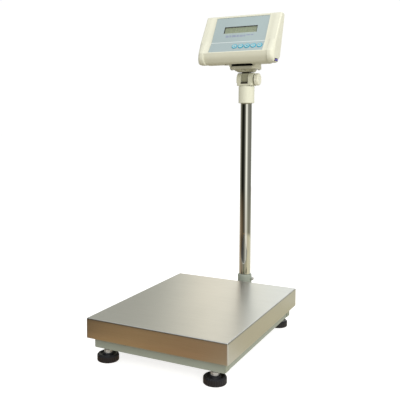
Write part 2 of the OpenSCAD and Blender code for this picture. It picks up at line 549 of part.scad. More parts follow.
module case_screws() color(c_zinc) {
    for (p = posts) on_back() translate([p[0], p[1], -2.5]) pan_screw(2.7, 17, 6, 2);
    for (x = [-46, 46]) head() translate([x, bulge_y1 + 2, 662.5]) rotate([-90, 0, 0]) pan_screw(2.4, 5.5, 5, 1.6);
}
module overlay_panel() color(c_panel) difference() {
    head() prism_x(panel_w/2, film(0, -1.39, -0.9));
    on_face() translate([-lcd_w/2, lcd_s - lcd_h/2, -2]) cube([lcd_w, lcd_h, 4]);
    for (x = key_xs) on_strip() translate([x, key_s, -4]) cylinder(d = key_d + 0.6, h = 8);
}
module display_window() color([0.8, 0.86, 0.84, 0.35]) on_face()
    translate([-lcd_w/2 + 0.1, lcd_s - lcd_h/2 + 0.1, -2.4]) cube([lcd_w - 0.2, lcd_h - 0.2, 1.2]);
module lcd_module() color([0.55, 0.59, 0.50]) on_face() difference() {
    union() {
        translate([-lcd_w/2 - 3, lcd_s - lcd_h/2 - 3.5, -7.6]) cube([lcd_w + 6, lcd_h + 7, 4.6]);
        translate([-lcd_w/2 + 1, lcd_s - lcd_h/2 + 1, -3.1]) cube([lcd_w - 2, lcd_h - 2, 0.6]);
    }
}
module display_board() color(c_pcb) on_face() difference() {
    translate([-58, 8, -9.4]) cube([116, 52, 1.6]);
    for (x = [-54, 54]) for (y = [12, 56]) translate([x, y, -12]) cylinder(d = 3, h = 6);
}
module key(i) color(c_key) on_strip() translate([key_xs[i], key_s, 0]) {
    translate([0, 0, -2.4]) cylinder(d = key_d, h = 2.3);
    translate([0, 0, -0.11]) cylinder(d1 = key_d, d2 = key_d - 1.6, h = 0.5);
    translate([0, 0, -5]) cylinder(d = 5, h = 3);
}
module key_board() on_strip() {
    color(c_pcb) translate([-14, key_s - 9, -10.2]) cube([82, 16, 1.6]);
    color(c_black) for (x = key_xs) translate([x, key_s, -8.7]) {
        translate([-3, -3, 0]) cube([6, 6, 2]);
        cylinder(d = 3.4, h = 3.0);
    }
}
module main_board() on_face() {
    color(c_pcb) difference() {
        translate([-62, -6, -21.6]) cube([124, 42, 1.6]);
        for (x = [-58, 58]) for (y = [-2, 32]) translate([x, y, -25]) cylinder(d = 3.2, h = 6);
    }
    color(c_black) {
        translate([-14, 6, -20.1]) cube([14, 14, 1.8]);
        translate([20, 8, -20.1]) cube([10, 7, 1.8]);
        translate([-40, 4, -20.1]) cube([9, 12, 2.2]);
        for (x = [-50, -34, 36]) translate([x, 26, -20.1]) cylinder(d = 6.3, h = 6);
        translate([38, 8, -20.1]) cube([14, 6, 5]);
    }
}
module battery() color([0.28, 0.30, 0.32]) head() {
    box([-48, -17, 612], [48, 7, 662]);
    for (x = [-38, 38]) translate([x - 3, -15, 661.9]) cube([6, 0.8, 5]);
}
module battery_cover() color(c_case) head() {
    difference() {
        union() {
            box([-54, bulge_y1, 608], [54, bulge_y1 + 2, 669]);
            box([-50.6, bulge_y1 - 2.4, 611.4], [50.6, bulge_y1 + 0.5, 656]);
        }
        box([-48.6, bulge_y1 - 4, 613.4], [48.6, bulge_y1, 654]);
        for (x = [-46, 46]) translate([x, bulge_y1 - 5, 662.5]) rotate([-90, 0, 0]) cylinder(d = 3, h = 10);
        for (i = [0:4]) box([-12, bulge_y1 + 1.4, 613 + 2.4*i], [12, bulge_y1 + 3, 614.2 + 2.4*i]);
    }
}
module power_inlet() color(c_black) on_back() translate([76, 45, 0]) difference() {
    union() { translate([0, 0, -9]) cylinder(d = 11, h = 9.2); cylinder(d = 14, h = 1.8); translate([0, 0, -wall - 3]) tube(15, 10.9, 2); }
    translate([0, 0, -7.5]) difference() { cylinder(d = 6.4, h = 20); translate([0, 0, -1]) cylinder(d = 2, h = 8); }
}
module data_connector() color([0.7, 0.7, 0.68]) on_back() translate([-77, 45, 0]) rotate(90) difference() {
    union() {
        translate([-15.4, -6.2, 0]) cube([30.8, 12.4, 0.9]);
        translate([-9.6, -5.1, -9]) cube([19.2, 10.2, 9.2]);
        translate([0, 0, 0.5]) linear_extrude(5.4) polygon([[-8.9, 4.4], [8.9, 4.4], [7.7, -4.4], [-7.7, -4.4]]);
        for (s = [-1, 1]) translate([s*12.5, 0, 0.5]) hex(5, 4.5);
    }
    for (s = [-1, 1]) translate([s*12.5, 0, 1.4]) cylinder(d = 2.6, h = 10);
}
// the rocker rests with its front half pressed in
rock = 7;
module power_switch() color(c_black) head() translate([case_x, switch_y, switch_z]) difference() {
    union() {
        box([-13, -9, -3.1], [-1, 9, 3.1]);
        box([-1.2, -10, -3.5], [0.6, 10, 3.5]);
    }
    box([-9, -8.2, -2.5], [2, 8.2, 2.5]);
}
module power_rocker() color([0.22, 0.20, 0.34]) head() translate([case_x - 1.8, switch_y, switch_z]) rotate([0, 0, -rock]) union() {
    translate([-5, -1.7, -2.3]) cube([5, 3.4, 4.6]);
    translate([0, 0, -2.3]) linear_extrude(4.6) polygon([[-1.6, -7.7], [2.2, -7.6], [1.3, 0], [2.2, 7.6], [-1.6, 7.7]]);
}

// ---------------------------------------------------------------- output
platter();
platter_locating_studs();
upper_frame();
platter_bumpers();
upper_spacer();
load_cell();
load_cell_potting();
load_cell_gland();
lower_spacer();
load_cell_bolts();
base_frame();
rail_end_caps();
foot_nuts();
overload_stops();
foot_pad(-1, -1);  // foot_pad_front_left
foot_pad(1, -1);  // foot_pad_front_right
foot_pad(-1, 1);  // foot_pad_rear_left
foot_pad(1, 1);  // foot_pad_rear_right
leveling_stud(-1, -1);  // leveling_stud_front_left
leveling_stud(1, -1);  // leveling_stud_front_right
leveling_stud(-1, 1);  // leveling_stud_rear_left
leveling_stud(1, 1);  // leveling_stud_rear_right
pole_socket();
socket_bolts();
pole_clamp_screw();
level_housing();
level_vial();
pole();
pole_sleeve();
sleeve_screw();
swivel_washer();
tilt_yoke();
swivel_screw();
pivot_bolt();
knob_washer();
tilt_knob();
knob_insert();
head_bracket();
bracket_screws();
case_front();
case_rear();
case_screws();
overlay_panel();
display_window();
lcd_module();
display_board();
key(0);  // key_1
key(1);  // key_2
key(2);  // key_3
key(3);  // key_4
key(4);  // key_5
key_board();
main_board();
battery();
battery_cover();
power_inlet();
data_connector();
power_switch();
power_rocker();
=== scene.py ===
import math
import bpy
import bmesh
import numpy as np
from mathutils import Vector, Matrix


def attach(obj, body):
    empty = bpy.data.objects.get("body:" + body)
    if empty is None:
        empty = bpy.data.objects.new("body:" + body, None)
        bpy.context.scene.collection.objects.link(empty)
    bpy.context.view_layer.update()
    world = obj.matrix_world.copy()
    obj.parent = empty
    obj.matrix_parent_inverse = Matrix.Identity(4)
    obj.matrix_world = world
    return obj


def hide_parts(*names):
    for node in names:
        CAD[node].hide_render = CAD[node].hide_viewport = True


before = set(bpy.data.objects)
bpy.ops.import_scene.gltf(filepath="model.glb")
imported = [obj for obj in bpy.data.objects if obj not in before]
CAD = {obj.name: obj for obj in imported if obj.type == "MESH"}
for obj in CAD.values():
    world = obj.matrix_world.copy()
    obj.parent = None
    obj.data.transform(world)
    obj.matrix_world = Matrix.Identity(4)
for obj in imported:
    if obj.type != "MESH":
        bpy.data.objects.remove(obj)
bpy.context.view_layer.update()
scene = bpy.context.scene
MM = 0.001


# ---------------------------------------------------------------- camera
def make_camera():
    yaw, pitch = math.radians(28.1), math.radians(4.67)
    f = Vector((-math.sin(yaw) * math.cos(pitch), math.cos(yaw) * math.cos(pitch), -math.sin(pitch)))
    r = Vector((math.cos(yaw), math.sin(yaw), 0))
    u = r.cross(f)
    data = bpy.data.cameras.new("camera")
    data.sensor_width = 36
    data.lens = 623.5 / 400 * 36
    data.shift_x = 0.0738
    data.shift_y = -0.08
    data.clip_start, data.clip_end = 0.05, 100
    cam = bpy.data.objects.new("camera", data)
    scene.collection.objects.link(cam)
    m = Matrix((r, u, -f)).transposed().to_4x4()
    m.translation = Vector((0.5570, -1.2171, 0.4773))
    cam.matrix_world = m
    scene.camera = cam
    return cam


make_camera()


# ---------------------------------------------------------------- node helpers
def new_material(name):
    m = bpy.data.materials.new(name)
    m.use_nodes = True
    nt = m.node_tree
    nt.nodes.clear()
    out = nt.nodes.new("ShaderNodeOutputMaterial")
    p = nt.nodes.new("ShaderNodeBsdfPrincipled")
    nt.links.new(p.outputs[0], out.inputs[0])
    return m, nt, p


def obj_coords(nt, scale=(1, 1, 1), rot=(0, 0, 0)):
    tc = nt.nodes.new("ShaderNodeTexCoord")
    mp = nt.nodes.new("ShaderNodeMapping")
    mp.inputs["Scale"].default_value = scale
    mp.inputs["Rotation"].default_value = rot
    nt.links.new(tc.outputs["Object"], mp.inputs["Vector"])
    return mp.outputs[0]


def noise_tex(nt, vec, scale, detail=3, rough=0.5, dist=0.0):
    n = nt.nodes.new("ShaderNodeTexNoise")
    n.inputs["Scale"].default_value = scale
    n.inputs["Detail"].default_value = detail
    n.inputs["Roughness"].default_value = rough
    n.inputs["Distortion"].default_value = dist
    nt.links.new(vec, n.inputs["Vector"])
    return n.outputs["Fac"]


def ramp(nt, fac, stops, interp="LINEAR"):
    r = nt.nodes.new("ShaderNodeValToRGB")
    r.color_ramp.interpolation = interp
    e = r.color_ramp.elements
    while len(e) > 1:
        e.remove(e[-1])
    e[0].position, e[0].color = stops[0][0], as_rgba(stops[0][1])
    for pos, c in stops[1:]:
        n = e.new(pos)
        n.color = as_rgba(c)
    nt.links.new(fac, r.inputs[0])
    return r.outputs[0]


def as_rgba(c):
    if isinstance(c, (int, float)):
        return (c, c, c, 1)
    return (c[0], c[1], c[2], 1)


def mix(nt, fac, a, b, mode="MIX"):
    n = nt.nodes.new("ShaderNodeMix")
    n.data_type = "RGBA"
    n.blend_type = mode
    for i, v in ((0, fac), (6, a), (7, b)):
        if hasattr(v, "is_output"):
            nt.links.new(v, n.inputs[i])
        else:
            n.inputs[i].default_value = v if i == 0 else as_rgba(v)
    return n.outputs[2]


def math_node(nt, op, a, b=None, clamp=False):
    n = nt.nodes.new("ShaderNodeMath")
    n.operation = op
    n.use_clamp = clamp
    for sock, v in ((n.inputs[0], a), (n.inputs[1], b)):
        if v is None:
            continue
        if hasattr(v, "is_output"):
            nt.links.new(v, sock)
        else:
            sock.default_value = v
    return n.outputs[0]


def bump(nt, height, strength, distance, normal=None):
    b = nt.nodes.new("ShaderNodeBump")
    b.inputs["Strength"].default_value = strength
    b.inputs["Distance"].default_value = distance
    nt.links.new(height, b.inputs["Height"])
    if normal is not None:
        nt.links.new(normal, b.inputs["Normal"])
    return b.outputs[0]


def lin(r, g, b):
    """sRGB 0-255 to linear."""
    return tuple(((c / 255) / 12.92 if c / 255 <= 0.04045 else ((c / 255 + 0.055) / 1.055) ** 2.4) for c in (r, g, b))


def tone(c, k):
    return tuple(max(0.0, min(1.0, x * k)) for x in c)


MAT = {}


def plastic(name, base, rough=0.45, grain=900, grain_depth=0.00004, spread=0.06, coat=0.0, spec=0.5):
    """Moulded plastic: a fine spark-eroded grain, faint colour drift and uneven gloss."""
    m, nt, p = new_material(name)
    v = obj_coords(nt)
    big = noise_tex(nt, v, 9, 4, 0.55)
    mid = noise_tex(nt, v, 120, 3, 0.6)
    fine = noise_tex(nt, v, grain, 4, 0.65)
    c = mix(nt, ramp(nt, big, [(0.3, 0), (0.7, 1)]), tone(base, 1 - spread), tone(base, 1 + spread * 0.4))
    c = mix(nt, ramp(nt, mid, [(0.35, 0.0), (0.75, 0.18)]), c, tone(base, 1 - spread * 2.2))
    nt.links.new(c, p.inputs["Base Color"])
    r = ramp(nt, mix(nt, 0.5, big, mid), [(0.3, rough - 0.07), (0.7, rough + 0.07)])
    nt.links.new(r, p.inputs["Roughness"])
    p.inputs["Specular IOR Level"].default_value = spec
    p.inputs["Coat Weight"].default_value = coat
    nt.links.new(bump(nt, fine, 0.6, grain_depth), p.inputs["Normal"])
    MAT[name] = m
    return m


def metal(name, base, rough=0.25, scratch_axis=None, grain=500, depth=0.00001, spread=0.08, aniso=0.0, tangent=None, smudge=0.05):
    """Bare metal with directional grain along scratch_axis (0, 1, 2) or none, and faint smudges in the gloss."""
    m, nt, p = new_material(name)
    p.inputs["Metallic"].default_value = 1.0
    if scratch_axis is None:
        v = obj_coords(nt)
    else:
        s = [1.0, 1.0, 1.0]
        s[scratch_axis] = 0.012
        v = obj_coords(nt, tuple(s))
    fine = noise_tex(nt, v, grain, 5, 0.7)
    v2 = obj_coords(nt)
    big = noise_tex(nt, v2, 14, 5, 0.6)
    c = mix(nt, ramp(nt, fine, [(0.3, 0), (0.7, 1)]), tone(base, 1 - spread), tone(base, 1 + spread * 0.6))
    c = mix(nt, ramp(nt, big, [(0.45, 0.0), (0.8, 0.12)]), c, tone(base, 0.8))
    nt.links.new(c, p.inputs["Base Color"])
    r = ramp(nt, mix(nt, 0.6, fine, big), [(0.3, max(0.02, rough - smudge)), (0.72, rough + smudge)])
    nt.links.new(r, p.inputs["Roughness"])
    p.inputs["Anisotropic"].default_value = aniso
    if tangent is not None:
        t = nt.nodes.new("ShaderNodeTangent")
        t.direction_type = "RADIAL"
        t.axis = tangent
        nt.links.new(t.outputs[0], p.inputs["Tangent"])
    nt.links.new(bump(nt, fine, 0.5, depth), p.inputs["Normal"])
    MAT[name] = m
    return m


def paint(name, base, rough=0.42, peel=260, depth=0.00012, spread=0.05):
    """Powder coat: orange peel, tiny specks, slightly worn gloss."""
    m, nt, p = new_material(name)
    v = obj_coords(nt)
    peel_n = noise_tex(nt, v, peel, 2, 0.45)
    speck = noise_tex(nt, v, 1500, 2, 0.5)
    big = noise_tex(nt, v, 11, 5, 0.6)
    c = mix(nt, ramp(nt, big, [(0.3, 0), (0.7, 1)]), tone(base, 1 - spread), tone(base, 1 + spread))
    c = mix(nt, ramp(nt, speck, [(0.6, 0.0), (0.72, 0.25)]), c, tone(base, 0.7))
    nt.links.new(c, p.inputs["Base Color"])
    nt.links.new(ramp(nt, big, [(0.3, rough - 0.06), (0.75, rough + 0.08)]), p.inputs["Roughness"])
    h = mix(nt, 0.25, peel_n, speck)
    nt.links.new(bump(nt, h, 0.5, depth), p.inputs["Normal"])
    MAT[name] = m
    return m


CREAM = (0.70, 0.70, 0.59)
plastic("cream_plastic", CREAM, 0.40)
plastic("cream_fittings", (0.74, 0.745, 0.625), 0.40)
plastic("knob_plastic", (0.79, 0.785, 0.67), 0.42)
plastic("black_plastic", (0.016, 0.016, 0.017), 0.38, grain=700, grain_depth=0.00006)
plastic("foot_plastic", (0.014, 0.0145, 0.019), 0.34, grain=500, grain_depth=0.00004, spec=0.42)
plastic("rubber_black", (0.012, 0.012, 0.012), 0.75, grain=300, grain_depth=0.0001)
plastic("cap_plastic", (0.28, 0.31, 0.25), 0.45)
plastic("battery_grey", (0.06, 0.07, 0.08), 0.4)
plastic("nylon", (0.75, 0.75, 0.68), 0.35)
plastic("potting_silicone", (0.72, 0.72, 0.66), 0.3, grain=60, grain_depth=0.0004)
plastic("rocker_violet", (0.13, 0.105, 0.42), 0.25, grain=900, grain_depth=0.00001, spec=0.6)
plastic("level_fluid", (0.45, 0.62, 0.05), 0.08, grain=40, grain_depth=0.00001)
metal("steel_platter", (0.64, 0.64, 0.62), 0.34, scratch_axis=0, grain=1400, depth=0.000009, aniso=0.0, smudge=0.02)
metal("zinc", (0.70, 0.70, 0.69), 0.46, None, 400, 0.00002).node_tree.nodes["Principled BSDF"].inputs["Metallic"].default_value = 0.55
metal("chrome", (0.80, 0.80, 0.78), 0.05, 2, 900, 0.000001, spread=0.02, smudge=0.01)
metal("aluminium", (0.72, 0.73, 0.74), 0.32, 1, 700, 0.00001)
metal("brass", (0.66, 0.48, 0.20), 0.3, None, 500, 0.00001)
metal("nickel", (0.60, 0.58, 0.52), 0.28, None, 500, 0.00001)
paint("frame_paint", (0.305, 0.337, 0.293), 0.45)


def board_material():
    m, nt, p = new_material("circuit_board")
    v = obj_coords(nt)
    vo = nt.nodes.new("ShaderNodeTexVoronoi")
    vo.feature = "DISTANCE_TO_EDGE"
    vo.distance = "MANHATTAN"
    vo.inputs["Scale"].default_value = 160
    nt.links.new(v, vo.inputs["Vector"])
    trace = ramp(nt, vo.outputs["Distance"], [(0.04, 1.0), (0.09, 0.0)])
    c = mix(nt, trace, (0.01, 0.09, 0.03), (0.03, 0.22, 0.08))
    nt.links.new(c, p.inputs["Base Color"])
    nt.links.new(ramp(nt, noise_tex(nt, v, 30, 3), [(0.3, 0.25), (0.7, 0.4)]), p.inputs["Roughness"])
    nt.links.new(bump(nt, trace, 0.4, 0.00005), p.inputs["Normal"])
    MAT["circuit_board"] = m


board_material()


def film_material(name, base, rough=0.35):
    m, nt, p = new_material(name)
    v = obj_coords(nt)
    fine = noise_tex(nt, v, 1800, 3, 0.6)
    big = noise_tex(nt, v, 12, 4, 0.5)
    c = mix(nt, ramp(nt, big, [(0.3, 0), (0.7, 1)]), tone(base, 0.95), tone(base, 1.03))
    nt.links.new(c, p.inputs["Base Color"])
    nt.links.new(ramp(nt, big, [(0.3, rough - 0.04), (0.7, rough + 0.06)]), p.inputs["Roughness"])
    nt.links.new(bump(nt, fine, 0.5, 0.00002), p.inputs["Normal"])
    MAT[name] = m
    return m


film_material("panel_film", (0.35, 0.432, 0.452))
film_material("key_cyan", (0.03, 0.37, 0.55))
film_material("lcd_glass", (0.207, 0.258, 0.148), 0.35)


def window_material():
    """Clear acrylic: almost see-through, with a faint gloss and hairline scuffs."""
    m, nt, p = new_material("window_clear")
    v = obj_coords(nt, (1, 0.05, 1))
    n = noise_tex(nt, v, 900, 4, 0.6)
    nt.links.new(mix(nt, n, (0.55, 0.60, 0.50), (0.62, 0.66, 0.58)), p.inputs["Base Color"])
    nt.links.new(ramp(nt, n, [(0.3, 0.06), (0.7, 0.14)]), p.inputs["Roughness"])
    nt.links.new(bump(nt, n, 0.3, 0.000004), p.inputs["Normal"])
    p.inputs["Alpha"].default_value = 0.10
    MAT["window_clear"] = m


window_material()


def bracket_material():
    """Cast bracket: coated above; the barrel that turns in the yoke is a deeper grey, partly bare metal and partly
    painted shade of the slot, and near-black at its top as painted shadow.
    """
    m, nt, p = new_material("bracket_cast")
    v = obj_coords(nt)
    sep = nt.nodes.new("ShaderNodeSeparateXYZ")
    nt.links.new(v, sep.inputs[0])
    lo = math_node(nt, "MULTIPLY", math_node(nt, "SUBTRACT", 0.5862, sep.outputs[2]), 2000.0, True)
    big, fine = noise_tex(nt, v, 14, 4, 0.6), noise_tex(nt, v, 700, 4, 0.6)
    coat = mix(nt, big, (0.52, 0.51, 0.405), (0.59, 0.58, 0.465))
    # partly bare metal, partly painted shade: a deeper grey on the barrel inside the yoke's slot
    barrel_bare_and_shade = mix(nt, fine, (0.32, 0.32, 0.225), (0.385, 0.385, 0.28))
    # painted shadow: the barrel zone turns near-black in a band at its top, under the bracket's upper part
    neck = math_node(nt, "MULTIPLY", math_node(nt, "SUBTRACT", sep.outputs[2], 0.5815), 700.0, True)
    barrel_bare_and_shade = mix(nt, neck, barrel_bare_and_shade, (0.03, 0.026, 0.018))
    nt.links.new(mix(nt, lo, coat, barrel_bare_and_shade), p.inputs["Base Color"])
    nt.links.new(mix(nt, lo, ramp(nt, big, [(0.3, 0.38), (0.7, 0.48)]), ramp(nt, fine, [(0.3, 0.3), (0.7, 0.42)])), p.inputs["Roughness"])
    nt.links.new(bump(nt, fine, 0.5, 0.00005), p.inputs["Normal"])
    MAT["bracket_cast"] = m


bracket_material()


def plastic_with_painted_shade(name, base, shade_colour, mask, rough=0.42):
    """The moulded plastic with one region, given by mask(nt, separate xyz), painted in near-black matt as shade."""
    m, nt, p = new_material(name)
    v = obj_coords(nt)
    sep = nt.nodes.new("ShaderNodeSeparateXYZ")
    nt.links.new(v, sep.inputs[0])
    k = mask(nt, sep)
    big, mid, fine = noise_tex(nt, v, 9, 4, 0.55), noise_tex(nt, v, 120, 3, 0.6), noise_tex(nt, v, 900, 4, 0.65)
    c = mix(nt, ramp(nt, big, [(0.3, 0), (0.7, 1)]), tone(base, 0.94), tone(base, 1.024))
    c = mix(nt, ramp(nt, mid, [(0.35, 0.0), (0.75, 0.18)]), c, tone(base, 0.87))
    d = mix(nt, mid, tone(shade_colour, 0.8), tone(shade_colour, 1.2))
    nt.links.new(mix(nt, k, c, d), p.inputs["Base Color"])
    nt.links.new(mix(nt, k, ramp(nt, mix(nt, 0.5, big, mid), [(0.3, rough - 0.07), (0.7, rough + 0.07)]), ramp(nt, mid, [(0.3, 0.6), (0.7, 0.75)])), p.inputs["Roughness"])
    nt.links.new(bump(nt, fine, 0.6, 0.00004), p.inputs["Normal"])
    MAT[name] = m


def above(nt, out, limit):
    return math_node(nt, "MULTIPLY", math_node(nt, "SUBTRACT", out, limit), 4000.0, True)


def below(nt, out, limit):
    return math_node(nt, "MULTIPLY", math_node(nt, "SUBTRACT", limit, out), 4000.0, True)


# painted shade: the faces inside the yoke's slot, between the ears, turn near-black
def yoke_slot_shade_mask(nt, sep):
    inside = below(nt, math_node(nt, "ABSOLUTE", sep.outputs[0]), 0.00925)
    return math_node(nt, "MULTIPLY", inside, above(nt, sep.outputs[2], 0.5572))


# painted shade: the pocket in the case's underside where the bracket enters turns near-black
def pocket_shade_mask(nt, sep):
    k = below(nt, math_node(nt, "ABSOLUTE", sep.outputs[0]), 0.0272)
    k = math_node(nt, "MULTIPLY", k, below(nt, sep.outputs[2], 0.6078))
    return math_node(nt, "MULTIPLY", k, below(nt, sep.outputs[1], 0.2118))


# the yoke's slot between the ears is painted near-black as shade
plastic_with_painted_shade("yoke_plastic", (0.63, 0.63, 0.51), (0.035, 0.030, 0.020), yoke_slot_shade_mask)
# the rear shell's pocket under the case is painted near-black as shade
plastic_with_painted_shade("rear_plastic", CREAM, (0.012, 0.011, 0.009), pocket_shade_mask, 0.40)
plastic("key_centre", (0.40, 0.57, 0.58), 0.45)
# painted shade: a near-black for the case's inside faces and the walls of the openings cut into it
plastic("case_inside_shade", (0.012, 0.012, 0.011), 0.7, grain=300)
plastic("tick_ink", (0.19, 0.19, 0.40), 0.5)
# a painted highlight along the film's fold
plastic("fold_highlight", (0.74, 0.80, 0.80), 0.5)
plastic("lcd_segments", (0.148, 0.176, 0.107), 0.3)
# a painted highlight for the lower wall of the display's bezel
plastic("bezel_highlight", (0.50, 0.55, 0.50), 0.4)


# ---------------------------------------------------------------- mesh helpers (millimetres in, metres out)
YS, PY = -43.0, 219.5          # the platter's centre and the column's axis, in y


def make(name, verts, faces, mats, index=None, smooth=None):
    me = bpy.data.meshes.new(name)
    me.from_pydata([Vector(v) * MM for v in verts], [], [tuple(f) for f in faces])
    for m in mats:
        me.materials.append(MAT[m])
    if index is not None:
        me.polygons.foreach_set("material_index", index)
    me.update()
    bm = bmesh.new()
    bm.from_mesh(me)
    bmesh.ops.recalc_face_normals(bm, faces=bm.faces)
    bm.to_mesh(me)
    bm.free()
    if smooth is not None:
        me.polygons.foreach_set("use_smooth", [True] * len(me.polygons))
        me.set_sharp_from_angle(angle=math.radians(smooth))
    o = bpy.data.objects.new(name, me)
    scene.collection.objects.link(o)
    return o


def add_bevel(o, width, segments=2, angle=34, normals=True):
    b = o.modifiers.new("bevel", "BEVEL")
    b.width, b.segments = width, segments
    b.limit_method = "ANGLE"
    b.angle_limit = math.radians(angle)
    b.use_clamp_overlap = True
    if normals:
        n = o.modifiers.new("normals", "WEIGHTED_NORMAL")
        n.keep_sharp = True
    for poly in o.data.polygons:
        poly.use_smooth = True


def place(o, body, slot, *nodes):
    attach(o, body)
    if nodes:
        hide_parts(*nodes)
    return o


def lathe(name, profile, mats, at, axis="z", n=96, flute=None, index=None, smooth=40):
    """profile: [(radius, height)]; flute(radius, height, angle) gives the radius there."""
    verts, faces, idx, rings = [], [], [], []
    for i, (r, h) in enumerate(profile):
        if r < 1e-6:
            rings.append([len(verts)])
            verts.append((0, 0, h))
            continue
        ring = []
        for k in range(n):
            a = 2 * math.pi * k / n
            rr = flute(r, h, a) if flute else r
            ring.append(len(verts))
            verts.append((rr * math.cos(a), rr * math.sin(a), h))
        rings.append(ring)
    for i in range(len(rings) - 1):
        a, b = rings[i], rings[i + 1]
        for k in range(n):
            k2 = (k + 1) % n
            if len(a) == 1 and len(b) == 1:
                continue
            if len(a) == 1:
                faces.append((a[0], b[k], b[k2]))
            elif len(b) == 1:
                faces.append((a[k], a[k2], b[0]))
            else:
                faces.append((a[k], a[k2], b[k2], b[k]))
            idx.append(index[i] if index else 0)
    if axis == "x":
        verts = [(v[2], v[0], v[1]) for v in verts]
    verts = [(v[0] + at[0], v[1] + at[1], v[2] + at[2]) for v in verts]
    return make(name, verts, faces, mats, idx, smooth)


def arc(cx, cy, r, a0, a1, n):
    return [(cx + r * math.cos(math.radians(a0 + (a1 - a0) * i / n)), cy + r * math.sin(math.radians(a0 + (a1 - a0) * i / n))) for i in range(n + 1)]


# ---------------------------------------------------------------- platter: one folded sheet
def rounded_rect(hx, hy, r, n=8):
    pts = []
    for cx, cy, a in ((hx - r, hy - r, 0), (-hx + r, hy - r, 90), (-hx + r, -hy + r, 180), (hx - r, -hy + r, 270)):
        pts += arc(cx, cy, r, a, a + 90, n)
    return pts


def make_platter():
    loops = [(p[0], p[1]) for p in arc(2.5, 83.5, 2.5, 90, 180, 8)]
    loops += [(0, 78), (0, 60), (0, 46.6), (0.12, 46.22), (0.4, 46.0), (1.1, 46.0), (1.38, 46.22), (1.5, 46.6), (1.5, 60), (1.5, 83.5)]
    loops += [(2.5 - math.cos(math.radians(a)), 83.5 + math.sin(math.radians(a))) for a in (22, 45, 67, 90)]
    verts, faces, n = [], [], 36
    for inset, z in loops:
        r = max(2.5 - inset, 0.35)
        for x, y in rounded_rect(150 - inset, 200 - inset, r):
            verts.append((x, y + YS, z))
    for i in range(len(loops) - 1):
        for k in range(n):
            k2 = (k + 1) % n
            faces.append((i * n + k, i * n + k2, (i + 1) * n + k2, (i + 1) * n + k))
    faces.append(tuple(range(n)))
    faces.append(tuple((len(loops) - 1) * n + k for k in range(n)))
    return make("platter_sheet", verts, faces, ["steel_platter"], None, 50)


place(make_platter(), "platter", "platter_steel", "platter")


# ---------------------------------------------------------------- feet and studs
def pad_profile():
    p = [(0.0, 5.0), (6.1, 5.0), (6.1, 14.4), (6.6, 15.0), (9.3, 15.0)]
    p += [(9.7, 14.8), (10.9, 12.2), (11.3, 11.6), (12.0, 11.45), (14.6, 11.9), (15.1, 12.1), (15.9, 13.5), (16.5, 14.1)]
    p += [(17.2, 14.25), (18.6, 14.25), (19.5, 14.0), (20.6, 12.9), (21.3, 11.9), (21.55, 11.2)]
    p += [(21.6, z) for z in (10.2, 8.6, 7.0, 5.4, 3.8, 2.9)]
    p += [(21.6, 2.3), (21.3, 1.2), (20.6, 0.4), (19.8, 0.0), (16.6, 0.0), (16.6, 0.9), (9.0, 0.9), (9.0, 0.0), (0.0, 0.0)]
    return p


def pad_flute(r, h, a):
    if r < 19.0 or h < 2.6 or r > 21.61:
        return r
    deep = 0.95 * min(1.0, (r - 18.9) / 2.0)
    c = (0.5 + 0.5 * math.cos(30 * a)) ** 2.2
    return r - deep * c


feet = {"front_left": (-1, -1), "front_right": (1, -1), "rear_left": (-1, 1), "rear_right": (1, 1)}
for k, (sx, sy) in feet.items():
    at = (sx * 115, sy * 176.25 + YS, 0)
    o = lathe("pad_shell_" + k, pad_profile(), ["foot_plastic"], at, n=300, flute=pad_flute, smooth=48)
    place(o, "pad_" + k, "foot_plastic", "foot_pad_" + k)

    # the stud: swivel spigot, chamfered hexagon and a rolled thread
    verts, faces = [], []

    def hexa(a, r, cap):
        """radius of a hexagon at an angle, its corners cut by a cone"""
        s = 7.0 / math.cos(((a + math.pi / 6) % (math.pi / 3)) - math.pi / 6)
        return min(s, cap)

    prof = [("c", 0.0, 5.0), ("c", 5.5, 5.0), ("c", 6.0, 5.5), ("c", 6.0, 15.5), ("h", 7.0, 15.6), ("h", 7.55, 16.0), ("h", 8.2, 16.5), ("h", 8.2, 20.7), ("h", 7.55, 21.2), ("h", 7.0, 21.6), ("c", 4.6, 21.65)]
    z = 21.9
    while z < 45.6:
        prof.append(("t", 5.0, z))
        z += 0.25
    prof += [("c", 4.2, 45.9), ("c", 3.6, 46.0), ("c", 0.0, 46.0)]

    def stud_radius(kind, r, h, a):
        if kind == "h":
            return hexa(a, r, r)
        if kind == "t":
            ph = (h / 1.5 - a / (2 * math.pi)) % 1.0
            return 4.35 + 0.65 * min(1.0, 2.4 * (0.5 - abs(ph - 0.5)))
        return r
    n, rings = 48, []
    for kind, r, h in prof:
        if r == 0:
            rings.append([len(verts)])
            verts.append((at[0], at[1], h))
            continue
        ring = []
        for i in range(n):
            a = 2 * math.pi * i / n
            rr = stud_radius(kind, r, h, a)
            ring.append(len(verts))
            verts.append((at[0] + rr * math.cos(a), at[1] + rr * math.sin(a), h))
        rings.append(ring)
    for a, b in zip(rings, rings[1:]):
        for i in range(n):
            j = (i + 1) % n
            if len(a) == 1:
                faces.append((a[0], b[i], b[j]))
            elif len(b) == 1:
                faces.append((a[i], a[j], b[0]))
            else:
                faces.append((a[i], a[j], b[j], b[i]))
    place(make("stud_" + k + "_screw", verts, faces, ["zinc"], None, 32), "stud_" + k, "zinc", "leveling_stud_" + k)


# ---------------------------------------------------------------- column
pole = [(12.5, 31.0), (13.6, 31.0), (14.0, 31.5), (14.0, 200), (14.0, 380), (14.0, 533.4), (13.6, 534.0), (12.9, 534.0), (12.5, 533.5), (12.5, 31.0)]
place(lathe("pole_tube", pole, ["chrome"], (0, PY, 0), n=160), "frame", "chrome_tube", "pole")

